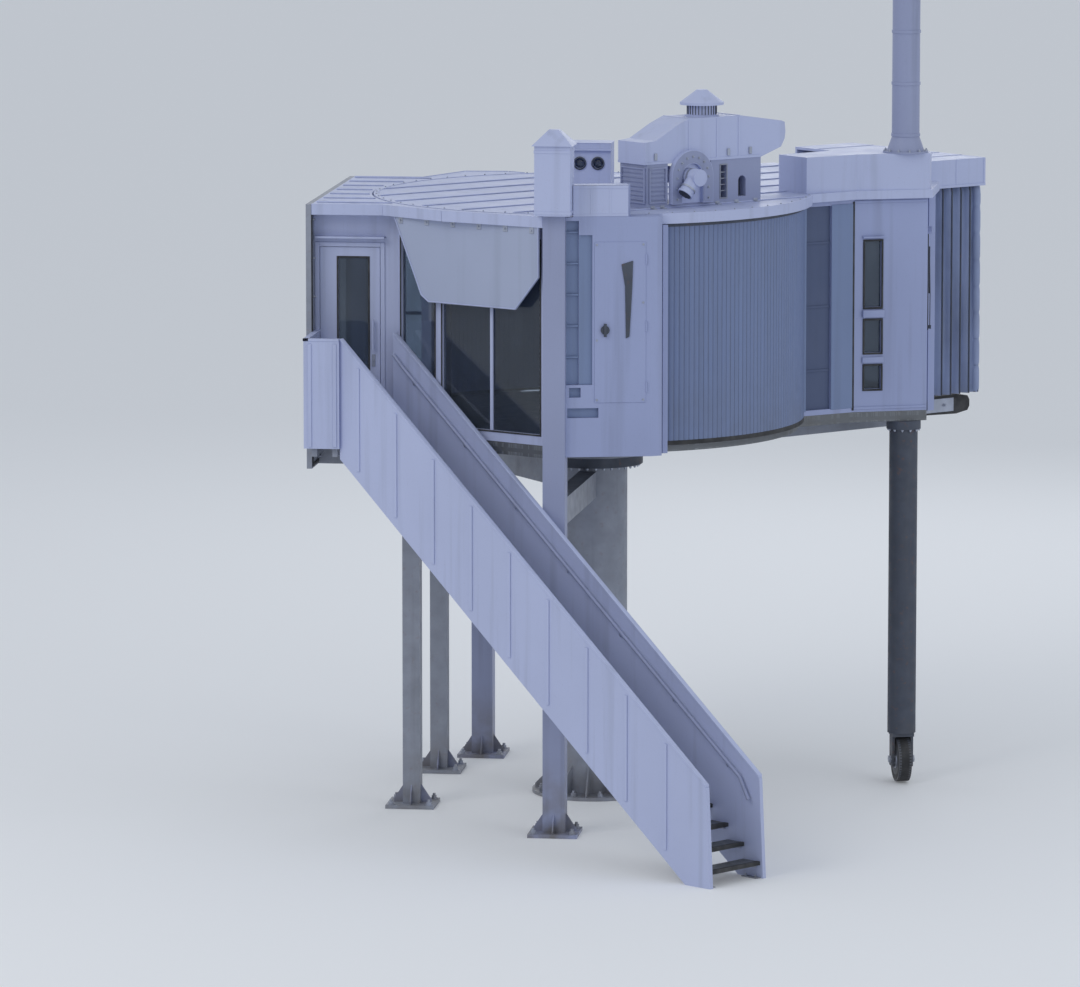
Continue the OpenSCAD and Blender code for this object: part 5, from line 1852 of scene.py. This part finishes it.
@dataclass
class Studio:
    """Floor, soft lights, sky and camera."""

    azimuth: float = 7.0
    elevation: float = 8.0
    distance: float = 80.0
    lens: float = 237.5
    aim: tuple[float, float, float] = (1.035, -2.199, 4.4)
    aim_pixel: tuple[float, float] = (662.0, 442.0)
    lit: tuple[float, float, float] = (0.5, -0.5, 5.0)
    image: tuple[int, int] = (1080, 987)
    pixels_per_radian: float = 7125.6

    def floor(self) -> None:
        """The pale floor."""
        bm = bmesh.new()
        bmesh.ops.create_grid(bm, x_segments=1, y_segments=1, size=600.0)
        mesh = bpy.data.meshes.new("studio_floor")
        bm.to_mesh(mesh)
        bm.free()
        mesh.materials.append(Ground().build())
        piece = bpy.data.objects.new("studio_floor", mesh)
        bpy.context.scene.collection.objects.link(piece)

    def lamp(self, name: str, at: Point, size: float, watts: float, colour: Colour) -> None:
        """A large soft lamp that looks at the cab.

        Args:
            name: Its name.
            at: Where it stands.
            size: The side of its square face.
            watts: Its power.
            colour: Its colour.
        """
        light = bpy.data.lights.new(name, "AREA")
        light.size, light.energy, light.color = size, watts, colour
        lamp = bpy.data.objects.new(name, light)
        lamp.location = at
        lamp.rotation_mode = "QUATERNION"
        lamp.rotation_quaternion = (Vector(self.lit) - Vector(at)).to_track_quat("-Z", "Y")
        bpy.context.scene.collection.objects.link(lamp)

    def sky(self) -> None:
        """Even light from all round, and a pale backdrop for the camera."""
        world = bpy.data.worlds.new("studio_sky")
        world.use_nodes = True
        tree = world.node_tree
        tree.nodes.clear()
        out = tree.nodes.new("ShaderNodeOutputWorld")
        mix = tree.nodes.new("ShaderNodeMixShader")
        rays = tree.nodes.new("ShaderNodeLightPath")
        seen = tree.nodes.new("ShaderNodeBackground")
        light = tree.nodes.new("ShaderNodeBackground")
        seen.inputs["Color"].default_value = (0.83, 0.85, 0.88, 1.0)
        light.inputs["Color"].default_value = (0.86, 0.92, 1.0, 1.0)
        light.inputs["Strength"].default_value = 0.62
        share = rays.outputs["Is Camera Ray"]
        for kind in ("Is Glossy Ray", "Is Transmission Ray"):
            most = tree.nodes.new("ShaderNodeMath")
            most.operation = "MAXIMUM"
            tree.links.new(share, most.inputs[0])
            tree.links.new(rays.outputs[kind], most.inputs[1])
            share = most.outputs[0]
        tree.links.new(share, mix.inputs[0])
        tree.links.new(light.outputs[0], mix.inputs[1])
        tree.links.new(seen.outputs[0], mix.inputs[2])
        tree.links.new(mix.outputs[0], out.inputs["Surface"])
        bpy.context.scene.world = world

    def camera(self) -> None:
        """The camera at the photograph's angle and framing."""
        a, e = math.radians(self.azimuth), math.radians(self.elevation)
        forward = Vector((-math.sin(a) * math.cos(e), math.cos(a) * math.cos(e), -math.sin(e)))
        right = Vector((math.cos(a), math.sin(a), 0.0))
        up = right.cross(forward)
        metres_per_pixel = self.distance / self.pixels_per_radian
        dx = (self.aim_pixel[0] - self.image[0] / 2) * metres_per_pixel
        dy = (self.image[1] / 2 - self.aim_pixel[1]) * metres_per_pixel
        data = bpy.data.cameras.new("photo_camera")
        data.lens, data.sensor_width, data.sensor_fit = self.lens, 36.0, "HORIZONTAL"
        data.clip_start, data.clip_end = 1.0, 1500.0
        camera = bpy.data.objects.new("photo_camera", data)
        camera.rotation_mode = "QUATERNION"
        camera.location = Vector(self.aim) - forward * self.distance - right * dx - up * dy
        camera.rotation_quaternion = forward.to_track_quat("-Z", "Y")
        bpy.context.scene.collection.objects.link(camera)
        bpy.context.scene.camera = camera

    def build(self) -> None:
        """Makes the studio."""
        self.floor()
        self.sky()
        self.camera()
        self.lamp("key_lamp", (-14.0, -20.0, 22.0), 14.0, 1500.0, (1.0, 0.98, 0.95))
        self.lamp("fill_lamp", (22.0, -14.0, 12.0), 14.0, 650.0, (0.92, 0.96, 1.0))
        self.lamp("back_lamp", (4.0, 24.0, 16.0), 14.0, 700.0, (0.95, 0.97, 1.0))
        bpy.context.scene.view_settings.view_transform = "Standard"


# ---------------------------------------------------------------- CAD nodes

NODE_FINISH: dict[Finish, str] = {
    Finish.WHITE: "link_near_wall link_far_wall link_roof column_head near_wing_wall far_wing_wall "
                  "landing_parapet stair_near_balustrade stair_far_balustrade service_door cab_roof "
                  "roof_box equipment_hood intake_arch canopy_hood cowl lamp_box",
    # Upright walls, columns, the mast and the equipment base take the white paint's copies with painted
    # shade.
    Finish.WALL: "curtain_housing operator_side_wall far_side_wall front_frame",
    Finish.COLUMN: "near_column far_column mast equipment_base",
    Finish.SCREEN: "weather_screen",
    Finish.GREY: "pedestal crossbeam link_beams rear_trestle wall_flange turntable landing",
    # The support leg takes the dark finish as painted shade, for the shadow under the cab; the slewing ring
    # is dark steel.
    Finish.DARK: "slewing_ring support_leg",
    Finish.DECK: "link_floor cab_floor stair_treads",
    Finish.GLASS: "link_glazing",
    Finish.TINTED: "operator_glazing door_glazing",
    Finish.CLOTH: "canopy_bellows",
    Finish.SLATS: "near_curtain far_curtain",
    Finish.RUBBER: "front_bumper",
}


def paint_nodes() -> None:
    """Gives every CAD node its finish."""
    for finish, names in NODE_FINISH.items():
        for name in names.split():
            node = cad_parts[name]
            if not node.data.materials:
                node.data.materials.append(None)
            for slot in node.material_slots:
                slot.material = material_of(finish)
    bare = sorted(set(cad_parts) - {n for names in NODE_FINISH.values() for n in names.split()})
    log.info("CAD nodes without a finish: %s", bare)


def main() -> None:
    """Builds the whole scene."""
    Studio().build()
    paint_nodes()
    SlatCurtain("near_curtain", -88.0, 4.77, 4.36, seed=4).build()
    SlatCurtain("far_curtain", 140.0, 85.23, 4.408, foot=0.03, seed=9).build()
    for assembly in (CabRoof(), OperatorBay(), FrontCanopy(), MastAndLeg(), RoofEquipment(),
                     CurtainHousing(), LinkGallery(), WeatherScreen(), ServiceStair(), ServiceDoor(),
                     SupportFrame()):
        log.info("building %s", type(assembly).__name__)
        assembly.build()


if __name__ == "__main__":
    main()
